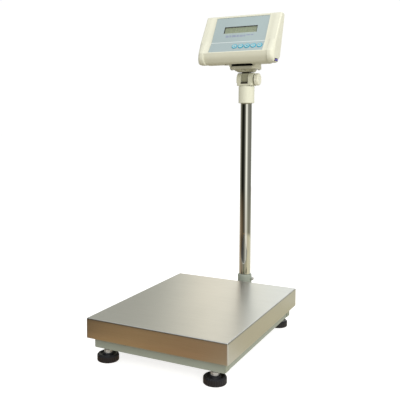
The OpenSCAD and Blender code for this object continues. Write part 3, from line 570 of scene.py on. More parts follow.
sleeve = [(14.1, 511.6), (14.5, 511.0), (17.6, 511.0)] + arc(17.7, 512.5, 1.5, -90, 0, 6) + [(19.2, 530)] + arc(17.4, 550.2, 1.8, 0, 90, 7) + [(12, 552.0), (8.1, 552.0), (8.1, 544.0), (14.1, 544.0), (14.1, 511.6)]
place(lathe("sleeve_shell", sleeve, ["cream_fittings"], (0, PY, 0), n=128), "frame", "case_plastic", "pole_sleeve")


def knob_flute(r, h, a):
    if r < 11.6 or h < 2.7 or h > 11.6:
        return r
    c = (0.5 + 0.5 * math.cos(24 * a)) ** 3
    return r - 0.55 * c * min(1.0, (h - 2.6) / 1.2) * min(1.0, (11.7 - h) / 1.2)


knob = [(6.0, 0.06), (7.2, 0.06), (7.5, 0.3), (7.5, 1.6), (12.6, 1.7)] + arc(13.0, 3.2, 1.5, -90, 0, 5)
knob += [(14.6, 4.2), (14.75, 6.0), (14.85, 8.0), (14.9, 9.4), (14.5, 10.6), (13.6, 11.7), (12.4, 12.3), (10.4, 12.7), (7, 12.8), (6.6, 12.6), (6.0, 12.3), (0, 12.2)]
o = lathe("knob_cap", knob + [(0, 10.6), (6.0, 10.6), (6.0, 0.06)], ["knob_plastic"], (21.2, PY, 568), axis="x", n=192, flute=knob_flute, smooth=40)
place(o, "knob", "knob_plastic", "tilt_knob")


# ---------------------------------------------------------------- head: outlines in (y from the column, z)
def rot2(a):
    return (math.sin(math.radians(a)), math.cos(math.radians(a)))


def add(a, b, s=1.0):
    return (a[0] + b[0] * s, a[1] + b[1] * s)


FACE, STRIP, BACK = 29.65, 39.5, 17.35
fold = (-60.7, 653.0)
up_u, up_l = rot2(FACE), rot2(STRIP)
n_u = (-math.cos(math.radians(FACE)), math.sin(math.radians(FACE)))
n_l = (-math.cos(math.radians(STRIP)), math.sin(math.radians(STRIP)))
top_front = add(fold, up_u, 77)
lip = add(fold, up_l, -33)


def on_back_at(t):
    return add((-33, 615), rot2(BACK), t)


cheek = [[on_back_at(0), 8], [on_back_at(110), 7], [top_front, 6], [(-63.4, 654.3), 60], [add(lip, (-1.0, 0.6)), 5], [(-84.5, 613), 18], [(-74, 601.6), 12], [(-53, 600.8), 8]]
cheek_end = [[on_back_at(0), 8], [on_back_at(110), 7], [top_front, 6], [(-63.4, 654.3), 60], [add(lip, (8, 2)), 40], [(-77.5, 612.5), 14], [(-73, 602.2), 9], [(-53, 600.8), 8]]
middle = [[on_back_at(-15.2), 9], [on_back_at(110), 7], [top_front, 6], [fold, 1], [lip, 1.2], [(-80, 616), 22], [(-68, 602.6), 18], [(-50, 600.9), 40]]
common = [[on_back_at(0), 8], [on_back_at(110), 7], [top_front, 6], [fold, 1], [lip, 1.2], [(-80, 616), 22], [(-69, 602.6), 18], [(-53, 601.4), 8]]


def rounded(c, d, k):
    n = len(c)
    P = [Vector(q[0]) for q in c]

    def en(a, b):
        u = (b - a).normalized()
        return Vector((-u.y, u.x))
    M = []
    for i in range(n):
        a, b = en(P[i - 1], P[i]), en(P[i], P[(i + 1) % n])
        M.append(P[i] + d * (a + b) / (1 + a.dot(b)))
    out = []
    for i in range(n):
        p = M[i]
        u, v = (M[i - 1] - p).normalized(), (M[(i + 1) % n] - p).normalized()
        turn = 1 if (u.x * v.y - u.y * v.x) < 0 else -1
        r = max(c[i][1] - d if turn > 0 else c[i][1] + d, 0.4)
        half = math.acos(max(-1, min(1, u.dot(v)))) / 2
        t = r / math.tan(half)
        a, b, o = p + t * u, p + t * v, p + (r / math.sin(half)) * (u + v).normalized()
        w0, w1 = math.atan2(a.y - o.y, a.x - o.x), math.atan2(b.y - o.y, b.x - o.x)
        dw = w1 - w0
        dw = dw - 2 * math.pi if dw > math.pi else dw + 2 * math.pi if dw < -math.pi else dw
        for j in range(k + 1):
            w = w0 + dw * j / k
            out.append((o.x + r * math.cos(w), o.y + r * math.sin(w)))
    return out


def between(a, b, w):
    """mixes two corner lists; w is one weight for each corner"""
    return [[((1 - k) * p[0][0] + k * q[0][0], (1 - k) * p[0][1] + k * q[0][1]), (1 - k) * p[1] + k * q[1]] for p, q, k in zip(a, b, w)]


def loft(name, half, k, mats):
    st = half + [(-x, d, c) for x, d, c in reversed(half)]
    verts, faces = [], []
    for x, d, c in st:
        ring = rounded(c, d, k)
        n = len(ring)
        verts += [(x, p[0] + PY, p[1]) for p in ring]
    for j in range(len(st) - 1):
        for i in range(n):
            i2 = (i + 1) % n
            faces.append((j * n + i, (j + 1) * n + i, (j + 1) * n + i2, j * n + i2))
    faces.append(tuple(range(n)))
    faces.append(tuple((len(st) - 1) * n + i for i in range(n)))
    return make(name, verts, faces, mats)


def outer_half():
    half = []
    for i in range(8):
        t = math.radians(90 * i / 7)
        s = 3.5 * (1 - math.cos(t))
        half.append((-95 + s, 3.5 * (1 - math.sin(t)), between(cheek, cheek_end, [(1 - s / 10) ** 2] * 8)))
    for s in (4.5, 5.5, 6.5, 7.5, 8.75, 10):
        half.append((-95 + s, 0, between(cheek, cheek_end, [(1 - s / 10) ** 2] * 8)))
    # below the fold the cheek steps down to the middle in 2 mm, above it over 10 mm
    for x in [-84, -82.5, -81, -80.0] + [-80.0 + 0.22 * i for i in range(1, 11)] + [-77, -76, -75, -74, -73, -72, -71, -70]:
        u = min(1, max(0, (x + 80) / 2.2))
        s = u * u * (3 - 2 * u)
        s = s * s * (3 - 2 * s)
        t = min(1, max(0, (x + 84) / 14))
        t = t * t * (3 - 2 * t)
        half.append((x, 0, between(cheek, middle, [s, s, s, t, s, s, s, s])))
    return half


def block(name, lo, hi, mat):
    v = [(x, y, z) for x in (lo[0], hi[0]) for y in (lo[1], hi[1]) for z in (lo[2], hi[2])]
    f = [(0, 1, 3, 2), (4, 6, 7, 5), (0, 4, 5, 1), (2, 3, 7, 6), (0, 2, 6, 4), (1, 5, 7, 3)]
    return make(name, v, f, [mat])


def prism(name, x, pts, mat):
    n = len(pts)
    v = [(-x, p[0] + PY, p[1]) for p in pts] + [(x, p[0] + PY, p[1]) for p in pts]
    f = [tuple(range(n)), tuple(range(n, 2 * n))] + [(i, (i + 1) % n, n + (i + 1) % n, n + i) for i in range(n)]
    return make(name, v, f, [mat])


def on_plane(s, h, upper):
    """(y, z) of a point s up the display face or key strip and h above it."""
    u, nn = (up_u, n_u) if upper else (up_l, n_l)
    return add(add(fold, u, s), nn, h)


def film_outline(g, h0, h1):
    b = (n_u[0] + n_l[0], n_u[1] + n_l[1])
    k = 1 + n_u[0] * n_l[0] + n_u[1] * n_l[1]
    b = (b[0] / k, b[1] / k)
    return [on_plane(-(30.2 + g), h0, False), add(fold, b, h0), on_plane(71.2 + g, h0, True), on_plane(71.2 + g, h1, True), add(fold, b, h1), on_plane(-(30.2 + g), h1, False)]


def slanted_block(name, x0, x1, s0, s1, h0, h1, upper, mat):
    v = []
    for x in (x0, x1):
        for s in (s0, s1):
            for h in (h0, h1):
                p = on_plane(s, h, upper)
                v.append((x, p[0] + PY, p[1]))
    f = [(0, 1, 3, 2), (4, 6, 7, 5), (0, 4, 5, 1), (2, 3, 7, 6), (0, 2, 6, 4), (1, 5, 7, 3)]
    return make(name, v, f, [mat])


def slanted_lathe(name, profile, mats, x, s, upper, n=64, index=None, smooth=40):
    o = lathe(name, profile, mats, (0, 0, 0), n=n, index=index, smooth=smooth)
    u, nn = (up_u, n_u) if upper else (up_l, n_l)
    p = on_plane(s, 0, upper)
    m = Matrix(((1, 0, 0), (0, u[0], u[1]), (0, nn[0], nn[1]))).transposed().to_4x4()
    m.translation = Vector((x, p[0] + PY, p[1])) * MM
    o.data.transform(m)
    return o


KEY_X = [-4, 11.4, 26.8, 42.2, 57.6]
KEY_S = -14.6


def cut(o, cutters):
    """subtracts the cutters from o's mesh"""
    for c in cutters:
        m = o.modifiers.new("cut", "BOOLEAN")
        m.operation, m.object, m.solver = "DIFFERENCE", c, "EXACT"
        m.material_mode = "TRANSFER"
        dg = bpy.context.evaluated_depsgraph_get()
        dg.update()
        me = bpy.data.meshes.new_from_object(o.evaluated_get(dg))
        old = o.data
        o.modifiers.clear()
        o.data = me
        bpy.data.meshes.remove(old)
    for c in cutters:
        bpy.data.objects.remove(c)


def make_case_front():
    o = loft("case_face", outer_half(), 9, ["cream_plastic"])
    half_in = [(-95 + 3.5, 4.5, common), (-95 + 5, 2.9, common), (-78, 2.9, common), (-74, 2.5, middle)]
    # the inner cutter and the opening cutters pass their near-black painted shade to the faces they cut
    inner = loft("cut_inner", half_in, 6, ["case_inside_shade"])
    # half-space behind the seam
    q = rot2(BACK)
    nb = (math.cos(math.radians(BACK)), -math.sin(math.radians(BACK)))
    base = add((-33, 615), nb, -12)
    pts = [add(base, q, -100), add(base, q, 200), add(add(base, q, 200), nb, 120), add(add(base, q, -100), nb, 120)]
    cuts = [inner, prism("cut_seam", 150, pts, "cream_plastic"),
            prism("cut_seat", 67.4, film_outline(0.4, -1.4, 3), "cream_plastic"),
            slanted_block("cut_window", -41.5, 41.5, 35 - 9.75, 35 + 9.75, -20, 10, True, "case_inside_shade"),
            block("cut_floor", (-33, PY - 59, 590), (33, PY - 20, 607), "case_inside_shade"),
            block("cut_switch", (95 - 14, PY - 62.5 - 9.1, 607 - 3.2), (96, PY - 62.5 + 9.1, 607 + 3.2), "case_inside_shade"),
            block("cut_bezel", (95 - 1.2, PY - 62.5 - 10.1, 607 - 3.6), (97, PY - 62.5 + 10.1, 607 + 3.6), "cream_plastic")]
    for i, x in enumerate(KEY_X):
        cuts.append(slanted_lathe(f"cut_key_{i}", [(0, -8), (6.8, -8), (6.8, 10), (0, 10)], ["case_inside_shade"], x, KEY_S, False, n=48))
    cut(o, cuts)
    return o


case = make_case_front()
case.data.polygons.foreach_set("use_smooth", [True] * len(case.data.polygons))
w = case.modifiers.new("weld", "WELD")
w.merge_threshold = 0.00002
add_bevel(case, 0.00035, 2, 32)
place(case, "head", "case_plastic", "case_front")


# ---------------------------------------------------------------- overlay film, bent at the fold
def make_film():
    bm = bmesh.new()
    loops = [[(x, s + 20.5) for x, s in rounded_rect(67.0, 50.7, 2.6, 6)],
             [(x, s + 35) for x, s in rounded_rect(41.5, 9.75, 0.7, 3)]]
    for x in KEY_X:
        loops.append([(x + 6.8 * math.cos(2 * math.pi * i / 48), KEY_S + 6.8 * math.sin(2 * math.pi * i / 48)) for i in range(48)])
    edges = []
    for pts in loops:
        vs = [bm.verts.new((p[0], p[1], 0)) for p in pts]
        edges += [bm.edges.new((vs[i], vs[(i + 1) % len(vs)])) for i in range(len(vs))]
    bmesh.ops.triangle_fill(bm, edges=edges, use_beauty=True, use_dissolve=False)
    for s in (-1.2, -0.55, 0.0, 0.55, 1.2):
        bmesh.ops.bisect_plane(bm, geom=bm.verts[:] + bm.edges[:] + bm.faces[:], plane_co=(0, s, 0), plane_no=(0, 1, 0), dist=1e-5)
    for f in bm.faces:
        c = f.calc_center_median()
        # the band along the fold takes a near-white material: a painted highlight on the bend
        f.material_index = 1 if abs(c.y) < 0.55 else 0
        if f.normal.z < 0:
            f.normal_flip()
    bt = 1.2
    b = (n_u[0] + n_l[0], n_u[1] + n_l[1])
    kk = 1 + n_u[0] * n_l[0] + n_u[1] * n_l[1]
    for v in bm.verts:
        x, s = v.co.x, v.co.y
        h = -0.9
        if s >= bt:
            p = on_plane(s, h, True)
        elif s <= -bt:
            p = on_plane(s, h, False)
        else:
            t = (s + bt) / (2 * bt)
            A, C = on_plane(-bt, h, False), on_plane(bt, h, True)
            F = add(fold, (b[0] / kk, b[1] / kk), h)
            p = tuple((1 - t) ** 2 * A[i] + 2 * t * (1 - t) * F[i] + t * t * C[i] for i in (0, 1))
        v.co = Vector((x, p[0] + PY, p[1])) * MM
    bmesh.ops.recalc_face_normals(bm, faces=bm.faces)
    me = bpy.data.meshes.new("face_film")
    bm.to_mesh(me)
    if sum(f.normal.y for f in bm.faces) > 0:
        me.flip_normals()
    bm.free()
    me.materials.append(MAT["panel_film"])
    me.materials.append(MAT["fold_highlight"])
    o = bpy.data.objects.new("face_film", me)
    scene.collection.objects.link(o)
    s = o.modifiers.new("thick", "SOLIDIFY")
    s.thickness, s.offset = 0.00049, -1
    add_bevel(o, 0.00012, 1, 50)
    return o


place(make_film(), "head", "overlay_film", "overlay_panel")

# faint rows of plain ticks under the display, in place of the small print
tv, tf = [], []
for row, s in ((0, 18.5), (1, 15.6)):
    x = -34.0 if row == 0 else -34.0
    step = 0
    while x < (30 if row == 0 else 12):
        ln = (7.5, 4.2, 9.6, 5.4)[step % 4]
        for xx, ss in ((x, s - 0.7), (x + ln, s - 0.7), (x + ln, s + 0.7), (x, s + 0.7)):
            p = on_plane(ss, -0.84, True)
            tv.append((xx, p[0] + PY, p[1]))
        tf.append(tuple(len(tv) - 4 + i for i in range(4)))
        x += ln + 2.2
        step += 1
ticks = make("film_ticks", tv, tf, ["tick_ink"])
tsol = ticks.modifiers.new("ink", "SOLIDIFY")
tsol.thickness, tsol.offset = 0.00006, -1
place(ticks, "head", "overlay_film")


# ---------------------------------------------------------------- display: glass, bezel, unlit segments
def make_display():
    verts, faces, idx = [], [], []

    def slab(x0, x1, s0, s1, h0, h1, m):
        n = len(verts)
        for x in (x0, x1):
            for s in (s0, s1):
                for h in (h0, h1):
                    p = on_plane(s + 35, h, True)
                    verts.append((x, p[0] + PY, p[1]))
        for f in ((0, 1, 3, 2), (4, 6, 7, 5), (0, 4, 5, 1), (2, 3, 7, 6), (0, 2, 6, 4), (1, 5, 7, 3)):
            faces.append(tuple(n + i for i in f))
            idx.append(m)
    slab(-44.5, 44.5, -13.2, 13.2, -7.6, -4.4, 1)
    slab(-40.4, 40.4, -8.8, 8.8, -4.5, -3.9, 0)
    # bezel around the glass: a sloping inner wall on each side, black partly as a bezel and partly as painted shade in
    # the recess; the lower side's rim and wall take a light material, a painted highlight
    outer_r, top_h, low_h = (41.4, 9.65), -1.0, -4.3
    inner_r = (40.3, 8.7)
    n0 = len(verts)
    for hx, hy, h in ((outer_r[0], outer_r[1], low_h), (outer_r[0], outer_r[1], top_h), (outer_r[0] - 0.75, outer_r[1] - 0.75, top_h - 0.05), (inner_r[0] - 0.1, inner_r[1] - 0.1, low_h + 0.3), (inner_r[0] - 0.1, inner_r[1] - 0.1, low_h)):
        for x, s in ((hx, hy), (-hx, hy), (-hx, -hy), (hx, -hy)):
            p = on_plane(s + 35, h, True)
            verts.append((x, p[0] + PY, p[1]))
    for r in range(4):
        for i in range(4):
            j = (i + 1) % 4
            faces.append((n0 + r * 4 + i, n0 + r * 4 + j, n0 + (r + 1) * 4 + j, n0 + (r + 1) * 4 + i))
            idx.append(2 if (i == 2 and r in (1, 2)) else 1)
    for i in range(4):
        j = (i + 1) % 4
        faces.append((n0 + 16 + i, n0 + 16 + j, n0 + j, n0 + i))
        idx.append(1)
    # six unlit seven-segment figures
    for d in range(6):
        cx = -31.5 + d * 12.6
        for (sx, sy, lx, ly) in ((0, 5.4, 5.6, 1.0), (0, 0, 5.6, 1.0), (0, -5.4, 5.6, 1.0), (-3.3, 2.7, 1.0, 4.6), (3.3, 2.7, 1.0, 4.6), (-3.3, -2.7, 1.0, 4.6), (3.3, -2.7, 1.0, 4.6)):
            n = len(verts)
            bx, by = lx / 2, ly / 2
            cutx, cuty = (0.45, 0) if lx > ly else (0, 0.45)
            pts = [(-bx, 0), (-bx + cutx, -by), (bx - cutx, -by), (bx, 0), (bx - cutx, by), (-bx + cutx, by)] if lx > ly else \
                [(0, -by), (bx, -by + cuty), (bx, by - cuty), (0, by), (-bx, by - cuty), (-bx, -by + cuty)]
            for h in (-3.88, -3.82):
                for px, py in pts:
                    lean = 0.08 * (sy + py)
                    p = on_plane(sy + py + 35, h, True)
                    verts.append((cx + sx + px + lean, p[0] + PY, p[1]))
            faces.append(tuple(n + 6 + i for i in range(6)))
            faces.append(tuple(n + 5 - i for i in range(6)))
            idx += [3, 3]
            for i in range(6):
                j = (i + 1) % 6
                faces.append((n + i, n + j, n + 6 + j, n + 6 + i))
                idx.append(3)
    return make("display_glass", verts, faces, ["lcd_glass", "black_plastic", "bezel_highlight", "lcd_segments"], idx)


place(make_display(), "head", "lcd_glass", "lcd_module")
pane = slanted_block("window_pane", -40.5, 40.5, 35 - 8.8, 35 + 8.8, -2.4, -1.6, True, "window_clear")
add_bevel(pane, 0.0002, 2)
place(pane, "head", "window_clear", "display_window")

# keys: a cyan rim around a pale, slightly dished middle
for i, x in enumerate(KEY_X):
    prof = [(0, -5), (2.3, -5), (2.5, -4.8), (2.5, -2.4), (6.2, -2.4), (6.5, -2.1), (6.5, -0.3), (6.42, 0.0), (6.2, 0.24), (5.8, 0.38), (5.4, 0.42), (5.05, 0.36), (4.7, 0.22), (3.4, 0.15), (0, 0.12)]
    index = [0] * 10 + [0, 0, 1, 1, 1]
    o = slanted_lathe(f"key_dome_{i + 1}", prof, ["key_cyan", "key_centre"], x, KEY_S, False, n=72, index=index)
    place(o, f"key_{i + 1}", "key_film", f"key_{i + 1}")


# a plain raised sign on each key: up, bar, square, down, bar
def key_sign(i, x, pts):
    verts, faces, n = [], [], len(pts)
    for h in (0.10, 0.26):
        for px, py in pts:
            q = on_plane(KEY_S + py, h, False)
            verts.append((x + px, q[0] + PY, q[1]))
    faces.append(tuple(n + k for k in range(n)))
    faces.append(tuple(n - 1 - k for k in range(n)))
    for k in range(n):
        faces.append((k, (k + 1) % n, n + (k + 1) % n, n + k))
    o = make(f"key_sign_{i + 1}", verts, faces, ["sign_ink"])
    add_bevel(o, 0.00005, 1, 40)
    place(o, f"key_{i + 1}", "key_film")


plastic("sign_ink", (0.03, 0.27, 0.42), 0.4)
UP = [(-2.6, -1.5), (2.6, -1.5), (0.0, 2.1)]
BAR = [(-2.9, -0.75), (2.9, -0.75), (2.9, 0.75), (-2.9, 0.75)]
SQUARE = [(-2.0, -2.0), (2.0, -2.0), (2.0, 2.0), (-2.0, 2.0)]
DOWN = [(-2.6, 1.5), (0.0, -2.1), (2.6, 1.5)]
for i, pts in enumerate((UP, BAR, SQUARE, DOWN, BAR)):
    key_sign(i, KEY_X[i], pts)


# ---------------------------------------------------------------- CAD nodes that stay
def dress(node, mat, bevel=0.0004, segments=2, angle=34, planar=True):
    """Gives a carried-over CAD node its material, and rounds its sharp edges with modifiers."""
    o = CAD[node]
    o.data.materials.clear()
    o.data.materials.append(MAT[mat])
    if bevel:
        w = o.modifiers.new("weld", "WELD")
        w.merge_threshold = 0.00001
        if planar:
            d = o.modifiers.new("planar", "DECIMATE")
            d.decimate_type = "DISSOLVE"
            d.angle_limit = math.radians(0.6)
        b = o.modifiers.new("bevel", "BEVEL")
        b.width = bevel
        b.segments = segments
        b.limit_method = "ANGLE"
        b.angle_limit = math.radians(angle)
        b.use_clamp_overlap = True
        b.harden_normals = False
        w = o.modifiers.new("weld_after", "WELD")
        w.merge_threshold = 0.000002
        n = o.modifiers.new("normals", "WEIGHTED_NORMAL")
        n.keep_sharp = True
        for poly in o.data.polygons:
            poly.use_smooth = True
    else:
        w = o.modifiers.new("weld", "WELD")
        w.merge_threshold = 0.00001


DRESS = {
    "platter_locating_studs": ("zinc", .0004), "upper_frame": ("frame_paint", .0006),
    "platter_bumpers": ("rubber_black", .0004), "upper_spacer": ("zinc", .0004), "load_cell": ("aluminium", .0005),
    "load_cell_potting": ("potting_silicone", .0003), "load_cell_gland": ("black_plastic", .0003), "lower_spacer": ("zinc", .0004),
    "load_cell_bolts": ("zinc", .0003), "base_frame": ("frame_paint", .0009), "rail_end_caps": ("cap_plastic", .0005),
    "foot_nuts": ("zinc", .0003), "overload_stops": ("zinc", .0003), "pole_socket": ("frame_paint", .0007),
    "socket_bolts": ("zinc", .0003), "pole_clamp_screw": ("zinc", .0003), "level_housing": ("black_plastic", .0003),
    "level_vial": ("level_fluid", 0), "sleeve_screw": ("zinc", .0002),
    "swivel_washer": ("nylon", .0002), "tilt_yoke": ("yoke_plastic", .0009), "swivel_screw": ("zinc", .0002), "pivot_bolt": ("zinc", .0003),
    # the knob washer takes black plastic: painted shade for the gap between knob and ear
    "knob_washer": ("black_plastic", .0002), "knob_insert": ("brass", .0002), "head_bracket": ("bracket_cast", .0008),
    "bracket_screws": ("zinc", .0002), "case_rear": ("rear_plastic", .0004), "case_screws": ("zinc", .0002),
    "display_board": ("circuit_board", .0002),
    "key_board": ("circuit_board", .0002), "main_board": ("circuit_board", .0002), "battery": ("battery_grey", .0008),
    "battery_cover": ("cream_plastic", .0005), "power_inlet": ("black_plastic", .0003), "data_connector": ("nickel", .0002),
    "power_switch": ("black_plastic", .0003), "power_rocker": ("rocker_violet", .0004),
}
for n, (m, b) in DRESS.items():
    dress(n, m, b)


# ---------------------------------------------------------------- studio
def emission(name, color, strength, build=None):
    m = bpy.data.materials.new(name)
    m.use_nodes = True
    nt = m.node_tree
    nt.nodes.clear()
    out = nt.nodes.new("ShaderNodeOutputMaterial")
    e = nt.nodes.new("ShaderNodeEmission")
    e.inputs[0].default_value = as_rgba(color)
    e.inputs[1].default_value = strength
    if build:
        nt.links.new(build(nt), e.inputs[0])
    nt.links.new(e.outputs[0], out.inputs[0])
    m.cycles.emission_sampling = "NONE"
    return m


def stage_flags(o, camera=False, glossy=True, diffuse=False, shadow=False):
    o.visible_camera = camera
    o.visible_glossy = glossy
    o.visible_diffuse = diffuse
    o.visible_shadow = shadow
    o.visible_transmission = False
    o.visible_volume_scatter = False
    return o


def quad(name, corners, mat, **flags):
    me = bpy.data.meshes.new(name)
    me.from_pydata([Vector(c) for c in corners], [], [(0, 1, 2, 3)])
    me.materials.append(mat)
    o = bpy.data.objects.new(name, me)
    scene.collection.objects.link(o)
    return stage_flags(o, **flags)


def area(name, loc, target, size, power, color=(1, 1, 1), size_y=None, glossy=True, spread=180):
    d = bpy.data.lights.new(name, "AREA")
    d.energy = power
    d.color = color
    d.shape = "RECTANGLE" if size_y else "SQUARE"
    d.size = size
    if size_y:
        d.size_y = size_y
    d.spread = math.radians(spread)
    o = bpy.data.objects.new(name, d)
    scene.collection.objects.link(o)
    o.location = loc
    o.rotation_euler = (Vector(target) - Vector(loc)).to_track_quat("-Z", "Y").to_euler()
    o.visible_glossy = glossy
    return o


scene.view_settings.view_transform = "Standard"
scene.view_settings.look = "None"
scene.view_settings.exposure = 0
scene.view_settings.gamma = 1

world = bpy.data.worlds.new("studio")
scene.world = world
world.use_nodes = True
world.node_tree.nodes["Background"].inputs[0].default_value = (1.0, 1.0, 0.985, 1)
world.node_tree.nodes["Background"].inputs[1].default_value = 0.74

# the floor and the white dome that the camera sees
floor_m, nt, p = new_material("studio_floor")
v = obj_coords(nt)
fl = noise_tex(nt, v, 3, 4)
nt.links.new(mix(nt, fl, (0.50, 0.50, 0.50), (0.54, 0.54, 0.54)), p.inputs["Base Color"])
p.inputs["Roughness"].default_value = 0.9
p.inputs["Emission Color"].default_value = (1, 1, 1, 1)
p.inputs["Emission Strength"].default_value = 0.78
quad("studio_floor", [(-12, -12, 0), (12, -12, 0), (12, 12, 0), (-12, 12, 0)], floor_m, camera=True, glossy=False, diffuse=False)
bm = bmesh.new()
bmesh.ops.create_uvsphere(bm, u_segments=48, v_segments=24, radius=14)
me = bpy.data.meshes.new("studio_dome")
bm.to_mesh(me)
bm.free()
me.materials.append(emission("studio_dome", (1, 1, 1), 1.02))
dome = bpy.data.objects.new("studio_dome", me)
scene.collection.objects.link(dome)
stage_flags(dome, camera=True, glossy=False, diffuse=False)


def azimuth(nt):
    """0..1 for the bearing about the column: 0.5 is the front, more is towards the right."""
    tc = nt.nodes.new("ShaderNodeTexCoord")
    sep = nt.nodes.new("ShaderNodeSeparateXYZ")
    nt.links.new(tc.outputs["Object"], sep.inputs[0])
    back = math_node(nt, "SUBTRACT", 0.2195, sep.outputs[1])
    a = math_node(nt, "ARCTAN2", sep.outputs[0], back)
    return math_node(nt, "ADD", math_node(nt, "MULTIPLY", a, 1 / (2 * math.pi)), 0.5), sep


def bearing(stops):
    return [((d + 180) / 360, c) for d, c in stops]


def floor_reflection(nt):
    a, sep = azimuth(nt)
    back = math_node(nt, "SUBTRACT", 0.2195, sep.outputs[1])
    r = math_node(nt, "SQRT", math_node(nt, "ADD", math_node(nt, "MULTIPLY", sep.outputs[0], sep.outputs[0]), math_node(nt, "MULTIPLY", back, back)))
    outer = ramp(nt, a, bearing([(-180, (0.60, 0.58, 0.46)), (-100, (0.40, 0.34, 0.24)), (-76, (0.30, 0.22, 0.14)), (-52, (0.13, 0.095, 0.055)), (-28, (0.12, 0.088, 0.05)), (-8, (0.07, 0.065, 0.05)),
                                 (11, (0.24, 0.22, 0.175)), (22, (0.60, 0.57, 0.49)), (34, (0.86, 0.84, 0.74)), (46, (0.70, 0.69, 0.60)), (60, (0.50, 0.48, 0.38)), (70, (0.34, 0.33, 0.25)),
                                 (92, (0.22, 0.21, 0.155)), (118, (0.24, 0.235, 0.18)), (150, (0.50, 0.49, 0.42)), (180, (0.60, 0.58, 0.46))]))
    middle = ramp(nt, a, bearing([(-180, (0.60, 0.58, 0.46)), (-90, (0.34, 0.26, 0.17)), (-60, (0.09, 0.07, 0.045)), (-32, (0.07, 0.055, 0.035)), (-20, (0.42, 0.268, 0.132)), (-12, (0.45, 0.287, 0.138)),
                                  (5, (0.41, 0.245, 0.122)), (13, (0.43, 0.32, 0.195)), (24, (0.80, 0.76, 0.64)), (34, (0.98, 0.95, 0.84)), (50, (0.84, 0.80, 0.68)), (64, (0.62, 0.57, 0.42)),
                                  (84, (0.60, 0.55, 0.39)), (104, (0.64, 0.60, 0.43)), (122, (0.74, 0.70, 0.53)), (180, (0.60, 0.58, 0.46))]))
    inner = ramp(nt, a, bearing([(-180, (0.60, 0.58, 0.46)), (-38, (0.27, 0.168, 0.088)), (-12, (0.41, 0.262, 0.122)), (5, (0.38, 0.23, 0.115)), (13, (0.46, 0.36, 0.22)),
                                 (24, (0.66, 0.60, 0.42)), (54, (0.66, 0.60, 0.42)), (84, (0.70, 0.65, 0.455)), (104, (0.68, 0.635, 0.45)), (122, (0.77, 0.73, 0.56)), (180, (0.60, 0.58, 0.46))]))
    k = math_node(nt, "MULTIPLY", math_node(nt, "SUBTRACT", 0.95, r), 5.0, True)
    c = mix(nt, k, outer, middle)
    k = math_node(nt, "MULTIPLY", math_node(nt, "SUBTRACT", 0.45, r), 9.0, True)
    c = mix(nt, k, c, inner)
    k = math_node(nt, "DIVIDE", math_node(nt, "SUBTRACT", r, 1.1), 1.6, True)
    return mix(nt, k, c, wall_reflection(nt))


def wall_reflection(nt):
    a, sep = azimuth(nt)
    return ramp(nt, a, bearing([(-180, (0.42, 0.42, 0.37)), (-150, (0.44, 0.44, 0.38)), (-128, (0.50, 0.50, 0.44)), (-115, (0.34, 0.33, 0.27)), (-93, (0.19, 0.18, 0.14)), (-74, (0.085, 0.083, 0.06)),
                                (-56, (0.010, 0.010, 0.006)), (-28, (0.010, 0.011, 0.008)), (-10, (0.055, 0.055, 0.042)), (2, (0.17, 0.17, 0.14)), (14, (0.42, 0.415, 0.36)), (24, (0.92, 0.91, 0.80)), (30, (1.15, 1.14, 1.02)),
                                (42, (0.98, 0.97, 0.86)), (52, (0.62, 0.61, 0.53)), (62, (0.34, 0.335, 0.29)), (74, (0.21, 0.21, 0.18)), (95, (0.24, 0.24, 0.205)), (108, (0.20, 0.20, 0.17)), (117, (0.11, 0.105, 0.085)),
                                (126, (0.20, 0.20, 0.17)), (150, (0.38, 0.375, 0.33)), (180, (0.42, 0.42, 0.37))]))


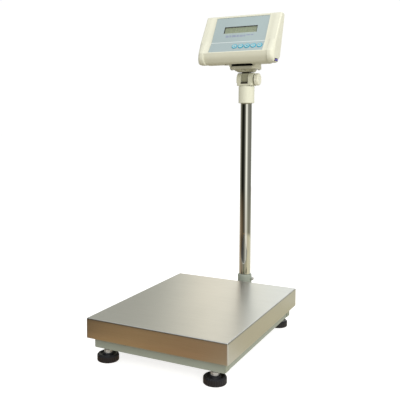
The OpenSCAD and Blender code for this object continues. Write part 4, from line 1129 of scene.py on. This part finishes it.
quad("floor_reflection", [(-7, -7, -0.002), (7, -7, -0.002), (7, 7, -0.002), (-7, 7, -0.002)],
     emission("floor_reflection", (1, 1, 1), 1.0, floor_reflection), diffuse=False)
quad("floor_bounce", [(-7, -7, -0.003), (7, -7, -0.003), (7, 7, -0.003), (-7, 7, -0.003)],
     emission("floor_bounce", (0.52, 0.475, 0.355), 0.80), glossy=False, diffuse=True)
# a round wall that only the glossy surfaces see
ring_v, ring_f = [], []
for i in range(96):
    a = 2 * math.pi * i / 96
    for z in (-0.01, 3.2):
        ring_v.append((3.3 * math.sin(a), 0.2195 - 3.3 * math.cos(a), z))
for i in range(96):
    j = (i + 1) % 96
    ring_f.append((2 * i, 2 * j, 2 * j + 1, 2 * i + 1))
me = bpy.data.meshes.new("round_wall")
me.from_pydata(ring_v, [], ring_f)
me.materials.append(emission("round_wall", (1, 1, 1), 1.0, wall_reflection))
ring_o = bpy.data.objects.new("round_wall", me)
scene.collection.objects.link(ring_o)
stage_flags(ring_o, camera=False, glossy=True, diffuse=False)


def back_wall(nt):
    tc = nt.nodes.new("ShaderNodeTexCoord")
    sep = nt.nodes.new("ShaderNodeSeparateXYZ")
    nt.links.new(tc.outputs["Object"], sep.inputs[0])
    s = math_node(nt, "DIVIDE", math_node(nt, "ADD", sep.outputs[0], 4.0), 4.0, True)
    return ramp(nt, s, [(0.0, (0.36, 0.37, 0.33)), (0.36, (0.39, 0.40, 0.355)), (0.50, (0.50, 0.51, 0.45)), (0.58, (0.73, 0.73, 0.645)), (0.645, (1.22, 1.13, 0.93)),
                        (0.71, (1.22, 1.14, 0.96)), (0.755, (1.08, 1.10, 1.01)), (0.86, (1.18, 1.22, 1.20)), (1.0, (1.28, 1.31, 1.32))])


quad("back_wall", [(-2.75, 3.0, 0), (0.6, 3.0, 0), (0.6, 3.0, 4), (-2.75, 3.0, 4)], emission("back_wall", (1, 1, 1), 1.0, back_wall))

area("key_softbox", (1.35, -1.85, 0.95), (0.05, 0.1, 0.5), 0.85, 31, (1.0, 0.98, 0.92), size_y=2.2, glossy=False)
area("right_fill", (2.3, -0.1, 1.0), (0, 0.2, 0.5), 1.2, 20, (1.0, 0.99, 0.95), glossy=False)
area("top_softbox", (0.2, -0.3, 2.4), (0, 0.1, 0.3), 1.6, 8, (1.0, 1.0, 0.97))
